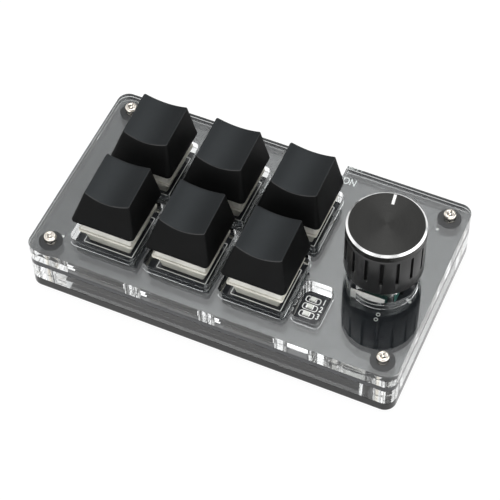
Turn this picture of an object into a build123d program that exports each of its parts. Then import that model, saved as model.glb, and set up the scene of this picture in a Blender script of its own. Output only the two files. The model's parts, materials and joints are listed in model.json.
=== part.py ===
# Programmable keypad: six sprung keys and a push dial on a layered acrylic case, in millimetres.
# The origin is on the desk under the middle of the case. X runs along the case, Y to its back edge, Z up.
import math
import os

from build123d import *

os.makedirs("parts", exist_ok=True)

# Case layers, from the desk up
case_corner_radius = 3.2
foot_height = 1.6
bottom_thickness = 3.0
frame_height = 6.0
board_thickness = 1.6
spacer_thickness = 3.0
top_thickness = 2.0

# Rubber feet
foot_diameter = 8.0
foot_inset = 13.0
foot_round = 0.4

# Middle frame
frame_wall = 5.4
frame_corner = 9.8

# Case screws and nuts
screw_inset = 5.1
screw_diameter = 2.0
screw_hole_clearance = 0.15
screw_head_diameter = 3.4
screw_head_height = 1.3
screw_head_round = 0.6
screw_cross_length = 2.3
screw_cross_width = 0.5
screw_cross_depth = 0.7
screw_end_inset = 0.4
nut_across_flats = 4.0
nut_height = 1.6
nut_recess = 0.2
nut_clearance = 0.05
close_clearance = 0.02

# Key field: margins to the case's edges, webs between the openings, and their reach from a key's middle
key_columns = 3
key_rows = 2
first_key_inset = 18.5
key_front_margin = 7.2
key_back_margin = 8.85
key_web_x = 2.8
key_web_y = 2.65
key_opening_width = 18.4
key_opening_front = 10.65
key_opening_back = 9.0
key_opening_radius = 1.5

# Key switch housing, heights above the board
switch_foot_width = 12.0
switch_waist_width = 14.0
switch_flange_lip = 0.8
switch_flange_seat = 5.0
switch_flange_thickness = 0.8
switch_shoulder_step = 0.3
switch_crown_width = 10.4
switch_crown_depth = 8.4
switch_height = 11.6
switch_wall = 1.4
switch_floor = 1.2
switch_roof = 1.5
switch_corner_radius = 0.5
switch_post_diameter = 4.0
switch_post_floor = 0.6
post_clearance = 0.05

# Key switch contacts, places relative to the key's middle
contact_width = 1.4
contact_thickness = 0.3
contact_stem_gap = 0.3
contact_clearance = 0.1
first_contact_x = -3.81
first_contact_y = 2.54
second_contact_x = 2.54
second_contact_y = 5.08
socket_length = 10.4
socket_width = 4.6
socket_height = 1.8

# Key stem and spring
key_travel = 4.0
stem_over_travel = 1.0
stem_skirt_width = 8.4
stem_skirt_depth = 6.2
stem_neck_width = 7.0
stem_neck_depth = 5.2
stem_guide_clearance = 0.15
stem_stop_clearance = 0.1
stem_cross_length = 4.1
stem_cross_width = 1.3
stem_cross_height = 3.6
stem_pole_diameter = 2.8
stem_pole_clearance = 0.1
stem_pole_entry = 0.4
stem_cap_thickness = 1.4
spring_diameter = 4.4
spring_wall = 0.5
spring_clearance = 0.15

# Key cap, heights above its rim and places relative to the key's middle
cap_base_width = 18.1
cap_base_radius = 1.3
cap_top_width = 12.7
cap_top_front = -4.5
cap_top_back = 8.6
cap_top_radius = 0.5
cap_front_height = 8.2
cap_back_height = 9.2
cap_dish = 1.1
cap_wall = 1.2
cap_roof = 1.5
cap_post_diameter = 5.5
cap_post_recess = 1.35
cap_cross_clearance = 0.05
cap_cross_spare = 0.2
cap_opening_clearance = 0.2

# Status lights and their window in the clear sheets
light_window_web = 1.5
light_window_length = 11.7
light_window_width = 7.9
light_window_radius = 1.6
light_window_front = 8.0
light_length = 2.0
light_width = 1.25
light_height = 0.8
light_pitch = 2.35
light_count = 3
light_shift_x = -1.15
light_shift_y = 1.15

# Power switch and its notch in the back edge of the clear sheets
power_notch_width = 12.7
power_notch_depth = 4.6
power_notch_radius = 1.0
power_case_length = 6.7
power_case_depth = 2.8
power_case_height = 1.4
power_case_wall = 0.3
power_travel = 2.0
power_lever_width = 1.4
power_lever_inset = 0.1
power_lever_rear_gap = 0.5
power_clearance = 0.05

# Dial: rotary encoder, heights above the board
key_dial_spacing = 27.8
dial_inset = 14.5
dial_offset = 0.1
dial_opening_clearance = 0.75
encoder_length = 11.8
encoder_width = 11.6
encoder_height = 6.5
encoder_sheet = 0.6
encoder_skirt = 4.6
encoder_floor = 0.6
encoder_gap = 0.1
encoder_leg_width = 2.0
encoder_rotor_diameter = 8.8
encoder_rotor_thickness = 1.2
encoder_rotor_clearance = 0.3
encoder_tail = 2.6
encoder_pin_width = 0.8
encoder_pin_pitch = 2.5
encoder_pin_row = 7.5
encoder_switch_row = 7.0
encoder_foot = 1.0
encoder_pin_overhang = 0.1
pin_protrusion = 1.2
pin_clearance = 0.15
bushing_diameter = 7.0
bushing_length = 7.0
shaft_diameter = 6.0
shaft_length = 15.0
shaft_flat_length = 7.0
shaft_flat_across = 4.5
shaft_clearance = 0.04
dial_travel = 0.5
plunger_diameter = 5.0
dome_diameter = 4.4
dome_thickness = 0.25
dome_clearance = 0.1

# Dial knob, heights above the top plate
knob_diameter = 20.5
knob_bottom = 4.85
knob_skirt_height = 13.9
knob_wall = 2.0
knob_roof = 2.4
knob_recess_clearance = 0.8
knob_hub_diameter = 10.0
knob_edge = 0.35
knob_fit = 0.02
groove_count = 16
groove_width = 0.9
groove_depth = 0.6
groove_foot = 4.3
groove_head = 0.9
groove_turn = -74.0
knob_cap_step = 0.1
knob_cap_height = 2.4
knob_cap_chamfer = 0.55
spigot_diameter = 12.0
spigot_depth = 0.8
pointer_turn = 98.0
pointer_edge = 0.4
pointer_length = 3.0
pointer_width = 0.75
pointer_depth = 0.15

# Data port on the board's underside
port_width = 8.94
port_height = 3.26
port_length = 7.3
port_wall = 0.3
port_tongue_width = 6.7
port_tongue_thickness = 0.7
port_tongue_length = 4.4
port_back_thickness = 1.6
port_gap_clearance = 0.5

# Small parts on the board's underside
chip_inset = 14.35
chip_width = 7.0
chip_height = 1.4
crystal_length = 3.2
crystal_width = 2.5
crystal_height = 0.8
regulator_length = 2.9
regulator_width = 1.6
regulator_height = 1.1
passive_length = 1.6
passive_width = 0.8
passive_height = 0.6
passive_pitch = 2.2
connector_length = 6.0
connector_width = 4.5
connector_height = 3.0
small_part_gap = 1.5

# Battery on the bottom plate
battery_length = 40.0
battery_width = 25.0
battery_clearance = 0.6
battery_radius = 1.5

# Heights of the layers
bottom_z = foot_height
frame_z = bottom_z + bottom_thickness
board_z = frame_z + frame_height
board_top = board_z + board_thickness
spacer_top = board_top + spacer_thickness
case_top = spacer_top + top_thickness

# Size of the case, which holds the key field and the dial
key_opening_depth = key_opening_front + key_opening_back
key_pitch_x = key_opening_width + key_web_x
key_pitch_y = key_opening_depth + key_web_y
key_span_x = (key_columns - 1) * key_pitch_x
key_span_y = (key_rows - 1) * key_pitch_y
case_length = first_key_inset + key_span_x + key_dial_spacing + dial_inset
case_width = key_front_margin + key_span_y + key_opening_depth + key_back_margin

# Places of the screws, feet, keys and dial
screw_span_x = case_length - 2 * screw_inset
screw_span_y = case_width - 2 * screw_inset
foot_span_x = case_length - 2 * foot_inset
foot_span_y = case_width - 2 * foot_inset
screw_hole_radius = screw_diameter / 2 + screw_hole_clearance
first_column = -case_length / 2 + first_key_inset
last_column = first_column + key_span_x
middle_column = (first_column + last_column) / 2
back_row = case_width / 2 - key_back_margin - key_opening_back
dial_x = last_column + key_dial_spacing
dial_y = dial_offset
key_places = []
for row in range(key_rows):
    for column in range(key_columns):
        key_places.append((first_column + column * key_pitch_x, back_row - row * key_pitch_y))
encoder_foot_length = 2 * encoder_pin_pitch + encoder_pin_width + 2 * encoder_pin_overhang
encoder_foot_width = 2 * encoder_pin_row + encoder_pin_width + 2 * encoder_pin_overhang
encoder_diagonal = math.hypot(encoder_length, encoder_width)
encoder_foot_diagonal = math.hypot(encoder_foot_length, encoder_foot_width)
dial_opening_radius = max(encoder_diagonal, encoder_foot_diagonal) / 2 + dial_opening_clearance

# Widths and levels of a key switch, above the board
switch_flange_width = switch_waist_width + 2 * switch_flange_lip
switch_shoulder_width = switch_flange_width - 2 * switch_shoulder_step
flange_top = switch_flange_seat + switch_flange_thickness
roof_underside = switch_height - switch_roof
stem_bottom = switch_floor + key_travel + stem_over_travel
contact_top = stem_bottom - key_travel - contact_stem_gap
stem_skirt_top = roof_underside - stem_stop_clearance
stem_well_top = switch_height - stem_cap_thickness
pole_bottom = switch_floor + stem_pole_entry
bore_bottom = pole_bottom - key_travel - stem_stop_clearance * 2
post_bottom = bore_bottom - switch_post_floor
cap_rim = switch_height - cap_post_recess
cap_post_opening = cap_post_diameter + 2 * cap_opening_clearance
stem_opening_width = max(stem_neck_width + 2 * stem_guide_clearance, cap_post_opening)
stem_opening_depth = max(stem_neck_depth + 2 * stem_guide_clearance, cap_post_opening)

# Levels of the dial, above the board
bracket_underside = encoder_height - encoder_sheet
bushing_top = encoder_height + bushing_length
shaft_top = encoder_height + shaft_length
rotor_top = bracket_underside - encoder_rotor_clearance
rotor_bottom = rotor_top - encoder_rotor_thickness
dome_top = encoder_floor + dome_thickness
plunger_bottom = dome_top + dial_travel + dome_clearance
knob_bottom_z = case_top + knob_bottom
knob_skirt_top = knob_bottom_z + knob_skirt_height
knob_top = knob_skirt_top + knob_cap_height


# Rubber feet: four self-adhesive pads under the bottom plate
with BuildPart() as rubber_feet:
    with BuildSketch(Plane.XY):
        with GridLocations(foot_span_x, foot_span_y, 2, 2):
            Circle(foot_diameter / 2)
    extrude(amount=foot_height)
    fillet(rubber_feet.edges().group_by(Axis.Z)[0], radius=foot_round)
rubber_feet.part.label = "rubber_feet"
export_step(rubber_feet.part, "parts/rubber_feet.step")

# Bottom plate: black acrylic sheet with screw holes and hexagonal nut pockets
with BuildPart() as bottom_plate:
    with BuildSketch(Plane.XY.offset(bottom_z)):
        RectangleRounded(case_length, case_width, case_corner_radius)
        with GridLocations(screw_span_x, screw_span_y, 2, 2):
            Circle(screw_hole_radius, mode=Mode.SUBTRACT)
    extrude(amount=bottom_thickness)
    with BuildSketch(Plane.XY.offset(bottom_z)):
        with GridLocations(screw_span_x, screw_span_y, 2, 2):
            RegularPolygon(nut_across_flats / 2 + nut_clearance, 6, major_radius=False)
    extrude(amount=nut_recess + nut_height, mode=Mode.SUBTRACT)
bottom_plate.part.label = "bottom_plate"
export_step(bottom_plate.part, "parts/bottom_plate.step")

# Case nuts: four hexagonal nuts in the pockets of the bottom plate
with BuildPart() as case_nuts:
    with BuildSketch(Plane.XY.offset(bottom_z + nut_recess)):
        with GridLocations(screw_span_x, screw_span_y, 2, 2):
            RegularPolygon(nut_across_flats / 2, 6, major_radius=False)
            Circle(screw_diameter / 2 + close_clearance, mode=Mode.SUBTRACT)
    extrude(amount=nut_height)
case_nuts.part.label = "case_nuts"
export_step(case_nuts.part, "parts/case_nuts.step")

# Middle frame: clear acrylic ring with solid corners, open at the back for the data port
port_gap = port_width + 2 * port_gap_clearance
with BuildPart() as mid_frame:
    with BuildSketch(Plane.XY.offset(frame_z)):
        RectangleRounded(case_length, case_width, case_corner_radius)
        Rectangle(case_length - 2 * frame_wall, case_width - 2 * frame_corner, mode=Mode.SUBTRACT)
        Rectangle(case_length - 2 * frame_corner, case_width - 2 * frame_wall, mode=Mode.SUBTRACT)
        with Locations((middle_column, case_width / 2 - frame_wall)):
            Rectangle(port_gap, 2 * frame_wall, mode=Mode.SUBTRACT)
        with GridLocations(screw_span_x, screw_span_y, 2, 2):
            Circle(screw_hole_radius, mode=Mode.SUBTRACT)
    extrude(amount=frame_height)
mid_frame.part.label = "mid_frame"
export_step(mid_frame.part, "parts/mid_frame.step")

# Battery: flat pouch cell stuck to the bottom plate under the key field
post_protrusion = -post_bottom - board_thickness
battery_height = frame_height - max(socket_height, post_protrusion) - battery_clearance
with BuildPart() as battery:
    with BuildSketch(Plane((middle_column, 0, frame_z))):
        RectangleRounded(battery_length, battery_width, battery_radius)
    extrude(amount=battery_height)
    fillet(battery.edges().group_by(Axis.Z)[-1], radius=battery_radius / 2)
battery.part.label = "battery"
export_step(battery.part, "parts/battery.step")

# Circuit board: black board to the full outline, drilled for screws, switches and the encoder
encoder_leg_x = encoder_length / 2 - encoder_sheet / 2
with BuildPart() as circuit_board:
    with BuildSketch(Plane.XY.offset(board_z)):
        RectangleRounded(case_length, case_width, case_corner_radius)
        with GridLocations(screw_span_x, screw_span_y, 2, 2):
            Circle(screw_hole_radius, mode=Mode.SUBTRACT)
        for key_x, key_y in key_places:
            with Locations((key_x, key_y)):
                Circle(switch_post_diameter / 2 + post_clearance, mode=Mode.SUBTRACT)
            with Locations(
                (key_x + first_contact_x, key_y + first_contact_y),
                (key_x + second_contact_x, key_y + second_contact_y),
            ):
                Circle(contact_width / 2 + contact_clearance, mode=Mode.SUBTRACT)
        with Locations((dial_x - encoder_leg_x, dial_y), (dial_x + encoder_leg_x, dial_y)):
            Rectangle(
                encoder_sheet + 2 * pin_clearance, encoder_leg_width + 2 * pin_clearance, mode=Mode.SUBTRACT
            )
        with Locations((dial_x, dial_y - encoder_pin_row)):
            with GridLocations(encoder_pin_pitch, 0, 3, 1):
                Circle(encoder_pin_width / 2 + pin_clearance, mode=Mode.SUBTRACT)
        with Locations((dial_x, dial_y + encoder_switch_row)):
            with GridLocations(2 * encoder_pin_pitch, 0, 2, 1):
                Circle(encoder_pin_width / 2 + pin_clearance, mode=Mode.SUBTRACT)
    extrude(amount=board_thickness)
circuit_board.part.label = "circuit_board"
export_step(circuit_board.part, "parts/circuit_board.step")

# Hot-swap sockets: one moulded socket under each switch, bored for its two contacts
socket_x = (first_contact_x + second_contact_x) / 2
socket_y = (first_contact_y + second_contact_y) / 2
with BuildPart() as hot_swap_sockets:
    with BuildSketch(Plane.XY.offset(board_z)):
        for key_x, key_y in key_places:
            with Locations((key_x + socket_x, key_y + socket_y)):
                Rectangle(socket_length, socket_width)
        for key_x, key_y in key_places:
            with Locations((key_x, key_y)):
                Circle(switch_post_diameter / 2 + post_clearance, mode=Mode.SUBTRACT)
            with Locations(
                (key_x + first_contact_x, key_y + first_contact_y),
                (key_x + second_contact_x, key_y + second_contact_y),
            ):
                Circle(contact_width / 2 + contact_clearance, mode=Mode.SUBTRACT)
    extrude(amount=-socket_height)
hot_swap_sockets.part.label = "hot_swap_sockets"
export_step(hot_swap_sockets.part, "parts/hot_swap_sockets.step")

# Controller chip: square flat package between the keys and the dial, with the small parts in line
chip_x = (last_column + dial_x) / 2
chip_y = case_width / 2 - chip_inset - chip_width / 2
with BuildPart() as controller_chip:
    with BuildSketch(Plane((chip_x, chip_y, board_z))):
        Rectangle(chip_width, chip_width)
    extrude(amount=-chip_height)
controller_chip.part.label = "controller_chip"
export_step(controller_chip.part, "parts/controller_chip.step")

# Clock crystal: small metal can beside the chip
crystal_y = chip_y - chip_width / 2 - small_part_gap - crystal_width / 2
with BuildPart() as crystal:
    with BuildSketch(Plane((chip_x, crystal_y, board_z))):
        RectangleRounded(crystal_length, crystal_width, crystal_width / 8)
    extrude(amount=-crystal_height)
crystal.part.label = "crystal"
export_step(crystal.part, "parts/crystal.step")

# Voltage regulator: moulded package in front of the crystal
regulator_y = crystal_y - crystal_width / 2 - small_part_gap - regulator_width / 2
with BuildPart() as voltage_regulator:
    with BuildSketch(Plane((chip_x, regulator_y, board_z))):
        Rectangle(regulator_length, regulator_width)
    extrude(amount=-regulator_height)
voltage_regulator.part.label = "voltage_regulator"
export_step(voltage_regulator.part, "parts/voltage_regulator.step")

# Chip resistors and capacitors: a row in front of the regulator
passive_y = regulator_y - regulator_width / 2 - small_part_gap - passive_length / 2
with BuildPart() as passives:
    with BuildSketch(Plane((chip_x, passive_y, board_z))):
        with GridLocations(passive_pitch, 0, 3, 1):
            Rectangle(passive_width, passive_length)
    extrude(amount=-passive_height)
passives.part.label = "passives"
export_step(passives.part, "parts/passives.step")

# Battery connector: two-way header in front of the small parts
connector_y = passive_y - passive_length / 2 - small_part_gap - connector_width / 2
connector_wall = connector_width / 6
with BuildPart() as battery_connector:
    with BuildSketch(Plane((chip_x, connector_y, board_z))):
        Rectangle(connector_length, connector_width)
    extrude(amount=-connector_height)
    with BuildSketch(Plane((chip_x, connector_y - connector_wall, board_z - connector_height / 2))):
        Rectangle(connector_length - 2 * connector_wall, connector_width)
    extrude(amount=connector_height / 2 - connector_wall, both=True, mode=Mode.SUBTRACT)
battery_connector.part.label = "battery_connector"
export_step(battery_connector.part, "parts/battery_connector.step")

# Data port shell: folded steel oval under the board, its mouth level with the back edge
port_mouth = case_width / 2
port_z = board_z - port_height / 2
port_plane = Plane((middle_column, port_mouth, port_z), x_dir=(1, 0, 0), z_dir=(0, -1, 0))
port_round = 0.45 * port_height
port_bore_width = port_width - 2 * port_wall
port_bore_height = port_height - 2 * port_wall
with BuildPart() as port_shell:
    with BuildSketch(port_plane):
        RectangleRounded(port_width, port_height, port_round)
        RectangleRounded(port_bore_width, port_bore_height, port_round - port_wall, mode=Mode.SUBTRACT)
    extrude(amount=port_length)
port_shell.part.label = "port_shell"
export_step(port_shell.part, "parts/port_shell.step")

# Data port tongue: moulded insert that closes the shell's inner end and carries the tongue
with BuildPart() as port_tongue:
    with BuildSketch(port_plane.offset(port_length - port_back_thickness)):
        RectangleRounded(
            port_bore_width - 2 * close_clearance,
            port_bore_height - 2 * close_clearance,
            port_round - port_wall,
        )
    extrude(amount=port_back_thickness)
    with BuildSketch(port_plane.offset(port_length - port_back_thickness)):
        Rectangle(port_tongue_width, port_tongue_thickness)
    extrude(amount=-port_tongue_length)
port_tongue.part.label = "port_tongue"
export_step(port_tongue.part, "parts/port_tongue.step")

# Status lights: a column of chip lights on the board, inside the window of the top plate
light_window_x = last_column + key_opening_width / 2 + light_window_web + light_window_width / 2
light_window_y = -case_width / 2 + light_window_front + light_window_length / 2
with BuildPart() as status_lights:
    with BuildSketch(Plane((light_window_x + light_shift_x, light_window_y + light_shift_y, board_top))):
        with GridLocations(0, light_pitch, 1, light_count):
            Rectangle(light_length, light_width)
    extrude(amount=light_height)
status_lights.part.label = "status_lights"
export_step(status_lights.part, "parts/status_lights.step")

# Power switch case: low slide switch on the board, in the notch behind the last key column
power_rear = case_width / 2 - power_notch_depth + power_lever_rear_gap
power_back = power_rear + power_case_depth
power_slot_width = power_lever_width + power_travel + 2 * power_clearance
power_lever_height = power_case_height - 2 * power_case_wall - 2 * power_clearance
with BuildPart() as power_switch_case:
    with BuildSketch(Plane((last_column, power_rear + power_case_depth / 2, board_top))):
        Rectangle(power_case_length, power_case_depth)
    extrude(amount=power_case_height)
    with BuildSketch(Plane((last_column, power_back, board_top + power_case_wall))):
        Rectangle(power_slot_width, 2 * (power_case_depth - power_case_wall))
    extrude(amount=power_case_height - 2 * power_case_wall, mode=Mode.SUBTRACT)
power_switch_case.part.label = "power_switch_case"
export_step(power_switch_case.part, "parts/power_switch_case.step")

# Power switch slider: lever that slides along the back edge, at its left end when off
lever_x = last_column - power_travel / 2
lever_front = power_rear + power_case_wall + power_clearance
lever_back = case_width / 2 - power_lever_inset
with BuildPart() as power_switch_slider:
    with BuildSketch(
        Plane((lever_x, (lever_front + lever_back) / 2, board_top + power_case_wall + power_clearance))
    ):
        Rectangle(power_lever_width, lever_back - lever_front)
    extrude(amount=power_lever_height)
power_switch_slider.part.label = "power_switch_slider"
export_step(power_switch_slider.part, "parts/power_switch_slider.step")

# Switch contacts: two sheet-metal blades in each switch, down through the board into the socket
with BuildPart() as switch_contacts:
    with BuildSketch(Plane.XY.offset(board_z - socket_height)):
        for key_x, key_y in key_places:
            with Locations(
                (key_x + first_contact_x, key_y + first_contact_y),
                (key_x + second_contact_x, key_y + second_contact_y),
            ):
                Rectangle(contact_width, contact_thickness)
    extrude(amount=socket_height + board_thickness + contact_top)
switch_contacts.part.label = "switch_contacts"
export_step(switch_contacts.part, "parts/switch_contacts.step")

# Key switches and key caps, one set for each place in the key field
for number, (key_x, key_y) in enumerate(key_places, start=1):
    seat = Plane((key_x, key_y, board_top))

    # Switch base: lower housing with its flange, centre post and pole bore
    with BuildPart() as switch_base:
        with BuildSketch(seat):
            RectangleRounded(switch_foot_width, switch_foot_width, switch_corner_radius)
        with BuildSketch(seat.offset(switch_flange_seat)):
            RectangleRounded(switch_waist_width, switch_waist_width, switch_corner_radius)
        loft()
        with BuildSketch(seat.offset(switch_flange_seat)):
            RectangleRounded(switch_flange_width, switch_flange_width, switch_corner_radius)
        extrude(amount=switch_flange_thickness)
        with BuildSketch(seat.offset(switch_floor)):
            Rectangle(switch_foot_width - switch_wall, switch_foot_width - switch_wall)
        extrude(amount=flange_top - switch_floor, mode=Mode.SUBTRACT)
        with BuildSketch(seat):
            Circle(switch_post_diameter / 2)
        extrude(amount=post_bottom)
        with BuildSketch(seat.offset(bore_bottom)):
            Circle(stem_pole_diameter / 2 + stem_pole_clearance)
        extrude(amount=switch_floor - bore_bottom, mode=Mode.SUBTRACT)
        with BuildSketch(seat):
            with Locations((first_contact_x, first_contact_y), (second_contact_x, second_contact_y)):
                Rectangle(contact_width + 2 * close_clearance, contact_thickness + 2 * close_clearance)
        extrude(amount=switch_floor, mode=Mode.SUBTRACT)
    switch_base.part.label = f"switch_base_{number}"
    export_step(switch_base.part, f"parts/switch_base_{number}.step")

    # Switch top: tapered upper housing, hollow, with the stem's guide opening in its roof
    with BuildPart() as switch_top:
        with BuildSketch(seat.offset(flange_top)):
            RectangleRounded(switch_shoulder_width, switch_shoulder_width, switch_corner_radius)
        with BuildSketch(seat.offset(switch_height)):
            RectangleRounded(switch_crown_width, switch_crown_depth, switch_corner_radius)
        loft()
        crown_share = (roof_underside - flange_top) / (switch_height - flange_top)
        roof_width = switch_shoulder_width + crown_share * (switch_crown_width - switch_shoulder_width)
        roof_depth = switch_shoulder_width + crown_share * (switch_crown_depth - switch_shoulder_width)
        with BuildSketch(seat.offset(flange_top)):
            Rectangle(switch_shoulder_width - 2 * switch_wall, switch_shoulder_width - 2 * switch_wall)
        with BuildSketch(seat.offset(roof_underside)):
            Rectangle(roof_width - 2 * switch_wall, roof_depth - 2 * switch_wall)
        loft(mode=Mode.SUBTRACT)
        with BuildSketch(seat.offset(roof_underside)):
            Rectangle(stem_opening_width, stem_opening_depth)
        extrude(amount=switch_roof, mode=Mode.SUBTRACT)
    switch_top.part.label = f"switch_top_{number}"
    export_step(switch_top.part, f"parts/switch_top_{number}.step")

    # Switch spring: return spring between the switch floor and the stem's well
    with BuildPart() as switch_spring:
        with BuildSketch(seat.offset(switch_floor)):
            Circle(spring_diameter / 2)
            Circle(spring_diameter / 2 - spring_wall, mode=Mode.SUBTRACT)
        extrude(amount=stem_well_top - switch_floor)
    switch_spring.part.label = f"switch_spring_{number}"
    export_step(switch_spring.part, f"parts/switch_spring_{number}.step")

    # Switch stem: slider with a spring well, a centre pole and a cross on top
    with BuildPart() as switch_stem:
        with BuildSketch(seat.offset(stem_bottom)):
            Rectangle(stem_skirt_width, stem_skirt_depth)
        extrude(amount=stem_skirt_top - stem_bottom)
        with BuildSketch(seat.offset(stem_skirt_top)):
            Rectangle(stem_neck_width, stem_neck_depth)
        extrude(amount=switch_height - stem_skirt_top)
        with BuildSketch(seat.offset(stem_bottom)):
            Circle(spring_diameter / 2 + spring_clearance)
        extrude(amount=stem_well_top - stem_bottom, mode=Mode.SUBTRACT)
        with BuildSketch(seat.offset(pole_bottom)):
            Circle(stem_pole_diameter / 2)
        extrude(amount=stem_well_top - pole_bottom)
        with BuildSketch(seat.offset(switch_height)):
            Rectangle(stem_cross_length, stem_cross_width)
            Rectangle(stem_cross_width, stem_cross_length)
        extrude(amount=stem_cross_height)
    switch_stem.part.label = f"switch_stem_{number}"
    export_step(switch_stem.part, f"parts/switch_stem_{number}.step")

    # Key cap: hollow tapered cap with a leaning top, a shallow dish along Y and a cross socket
    rim = seat.offset(cap_rim)
    top_depth = cap_top_back - cap_top_front
    top_middle = (cap_top_front + cap_top_back) / 2
    top_height = (cap_front_height + cap_back_height) / 2
    top_plane = Plane(
        rim.from_local_coords((0, top_middle, top_height)),
        x_dir=(1, 0, 0),
        z_dir=(0, cap_front_height - cap_back_height, top_depth),
    )
    ceiling = cap_front_height - cap_dish - cap_roof
    ceiling_share = ceiling / top_height
    ceiling_width = cap_base_width + ceiling_share * (cap_top_width - cap_base_width)
    ceiling_front = -cap_base_width / 2 + ceiling_share * (cap_top_front + cap_base_width / 2)
    ceiling_back = cap_base_width / 2 + ceiling_share * (cap_top_back - cap_base_width / 2)
    ceiling_depth = ceiling_back - ceiling_front - 2 * cap_wall
    dish_radius = cap_top_width ** 2 / (8 * cap_dish) + cap_dish / 2
    with BuildPart() as keycap:
        with BuildSketch(rim):
            RectangleRounded(cap_base_width, cap_base_width, cap_base_radius)
        with BuildSketch(top_plane):
            RectangleRounded(cap_top_width, top_depth, cap_top_radius)
        loft()
        with BuildSketch(Plane(top_plane.origin, x_dir=(1, 0, 0), z_dir=top_plane.y_dir)):
            with Locations((0, cap_dish - dish_radius)):
                Circle(dish_radius)
        extrude(amount=cap_base_width, both=True, mode=Mode.SUBTRACT)
        with BuildSketch(rim):
            Rectangle(cap_base_width - 2 * cap_wall, cap_base_width - 2 * cap_wall)
        with BuildSketch(
            Plane(rim.from_local_coords((0, (ceiling_front + ceiling_back) / 2, ceiling)))
        ):
            Rectangle(ceiling_width - 2 * cap_wall, ceiling_depth)
        loft(mode=Mode.SUBTRACT)
        with BuildSketch(rim.offset(cap_post_recess)):
            Circle(cap_post_diameter / 2)
        extrude(amount=ceiling - cap_post_recess)
        with BuildSketch(rim.offset(cap_post_recess)):
            Rectangle(stem_cross_length + 2 * cap_cross_clearance, stem_cross_width + 2 * cap_cross_clearance)
            Rectangle(stem_cross_width + 2 * cap_cross_clearance, stem_cross_length + 2 * cap_cross_clearance)
        extrude(amount=stem_cross_height + cap_cross_spare, mode=Mode.SUBTRACT)
    keycap.part.label = f"keycap_{number}"
    export_step(keycap.part, f"parts/keycap_{number}.step")

dial_seat = Plane((dial_x, dial_y, board_top))

# Encoder base: moulded body with a round chamber for the rotor and plunger
chamber_radius = encoder_rotor_diameter / 2 + encoder_rotor_clearance
base_length = encoder_length - 2 * encoder_sheet - 2 * encoder_gap
base_width = encoder_width - 2 * encoder_sheet - 2 * encoder_gap
with BuildPart() as encoder_base:
    with BuildSketch(dial_seat):
        Rectangle(base_length, base_width)
        Rectangle(encoder_foot_length, encoder_foot_width)
    extrude(amount=encoder_foot)
    with BuildSketch(dial_seat.offset(encoder_foot)):
        Rectangle(base_length, base_width)
    extrude(amount=bracket_underside - encoder_foot)
    with BuildSketch(dial_seat.offset(encoder_floor)):
        Circle(chamber_radius)
    extrude(amount=bracket_underside - encoder_floor, mode=Mode.SUBTRACT)
encoder_base.part.label = "encoder_base"
export_step(encoder_base.part, "parts/encoder_base.step")

# Encoder pins: three signal pins in front and two push-switch pins behind, through the board
with BuildPart() as encoder_pins:
    with BuildSketch(dial_seat):
        with Locations((0, -encoder_pin_row)):
            with GridLocations(encoder_pin_pitch, 0, 3, 1):
                Circle(encoder_pin_width / 2)
        with Locations((0, encoder_switch_row)):
            with GridLocations(2 * encoder_pin_pitch, 0, 2, 1):
                Circle(encoder_pin_width / 2)
    extrude(amount=-(board_thickness + pin_protrusion))
encoder_pins.part.label = "encoder_pins"
export_step(encoder_pins.part, "parts/encoder_pins.step")

# Encoder dome: sprung metal disc on the chamber floor, pressed by the plunger
with BuildPart() as encoder_dome:
    with BuildSketch(dial_seat.offset(encoder_floor)):
        Circle(dome_diameter / 2)
    extrude(amount=dome_thickness)
encoder_dome.part.label = "encoder_dome"
export_step(encoder_dome.part, "parts/encoder_dome.step")

# Encoder plunger: button under the shaft's tail that carries a push to the dome
with BuildPart() as encoder_plunger:
    with BuildSketch(dial_seat.offset(plunger_bottom)):
        Circle(plunger_diameter / 2)
    extrude(amount=encoder_tail - plunger_bottom)
encoder_plunger.part.label = "encoder_plunger"
export_step(encoder_plunger.part, "parts/encoder_plunger.step")

# Encoder bracket: folded steel cover with front and back skirts and two legs through the board
with BuildPart() as encoder_bracket:
    with BuildSketch(dial_seat.offset(bracket_underside)):
        Rectangle(encoder_length, encoder_width)
        Circle(bushing_diameter / 2 + close_clearance, mode=Mode.SUBTRACT)
    extrude(amount=encoder_sheet)
    with BuildSketch(dial_seat.offset(bracket_underside)):
        with GridLocations(0, encoder_width - encoder_sheet, 1, 2):
            Rectangle(base_length, encoder_sheet)
    extrude(amount=-encoder_skirt)
    with BuildSketch(dial_seat.offset(bracket_underside)):
        with GridLocations(2 * encoder_leg_x, 0, 2, 1):
            Rectangle(encoder_sheet, encoder_leg_width)
    extrude(amount=-(bracket_underside + board_thickness + pin_protrusion))
encoder_bracket.part.label = "encoder_bracket"
export_step(encoder_bracket.part, "parts/encoder_bracket.step")

# Encoder bushing: round bearing for the shaft, set in the bracket
with BuildPart() as encoder_bushing:
    with BuildSketch(dial_seat.offset(bracket_underside)):
        Circle(bushing_diameter / 2)
        Circle(shaft_diameter / 2 + shaft_clearance, mode=Mode.SUBTRACT)
    extrude(amount=bushing_top - bracket_underside)
encoder_bushing.part.label = "encoder_bushing"
export_step(encoder_bushing.part, "parts/encoder_bushing.step")

# Encoder shaft: round shaft with its rotor disc and a flat at the top
flat_place = shaft_flat_across - shaft_diameter / 2
with BuildPart() as encoder_shaft:
    with BuildSketch(dial_seat.offset(encoder_tail)):
        Circle(shaft_diameter / 2)
    extrude(amount=shaft_top - encoder_tail)
    with BuildSketch(dial_seat.offset(rotor_bottom)):
        Circle(encoder_rotor_diameter / 2)
    extrude(amount=encoder_rotor_thickness)
    with BuildSketch(dial_seat.offset(shaft_top - shaft_flat_length)):
        with Locations((flat_place + shaft_diameter / 2, 0)):
            Rectangle(shaft_diameter, 2 * shaft_diameter)
    extrude(amount=shaft_flat_length, mode=Mode.SUBTRACT)
encoder_shaft.part.label = "encoder_shaft"
export_step(encoder_shaft.part, "parts/encoder_shaft.step")

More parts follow.
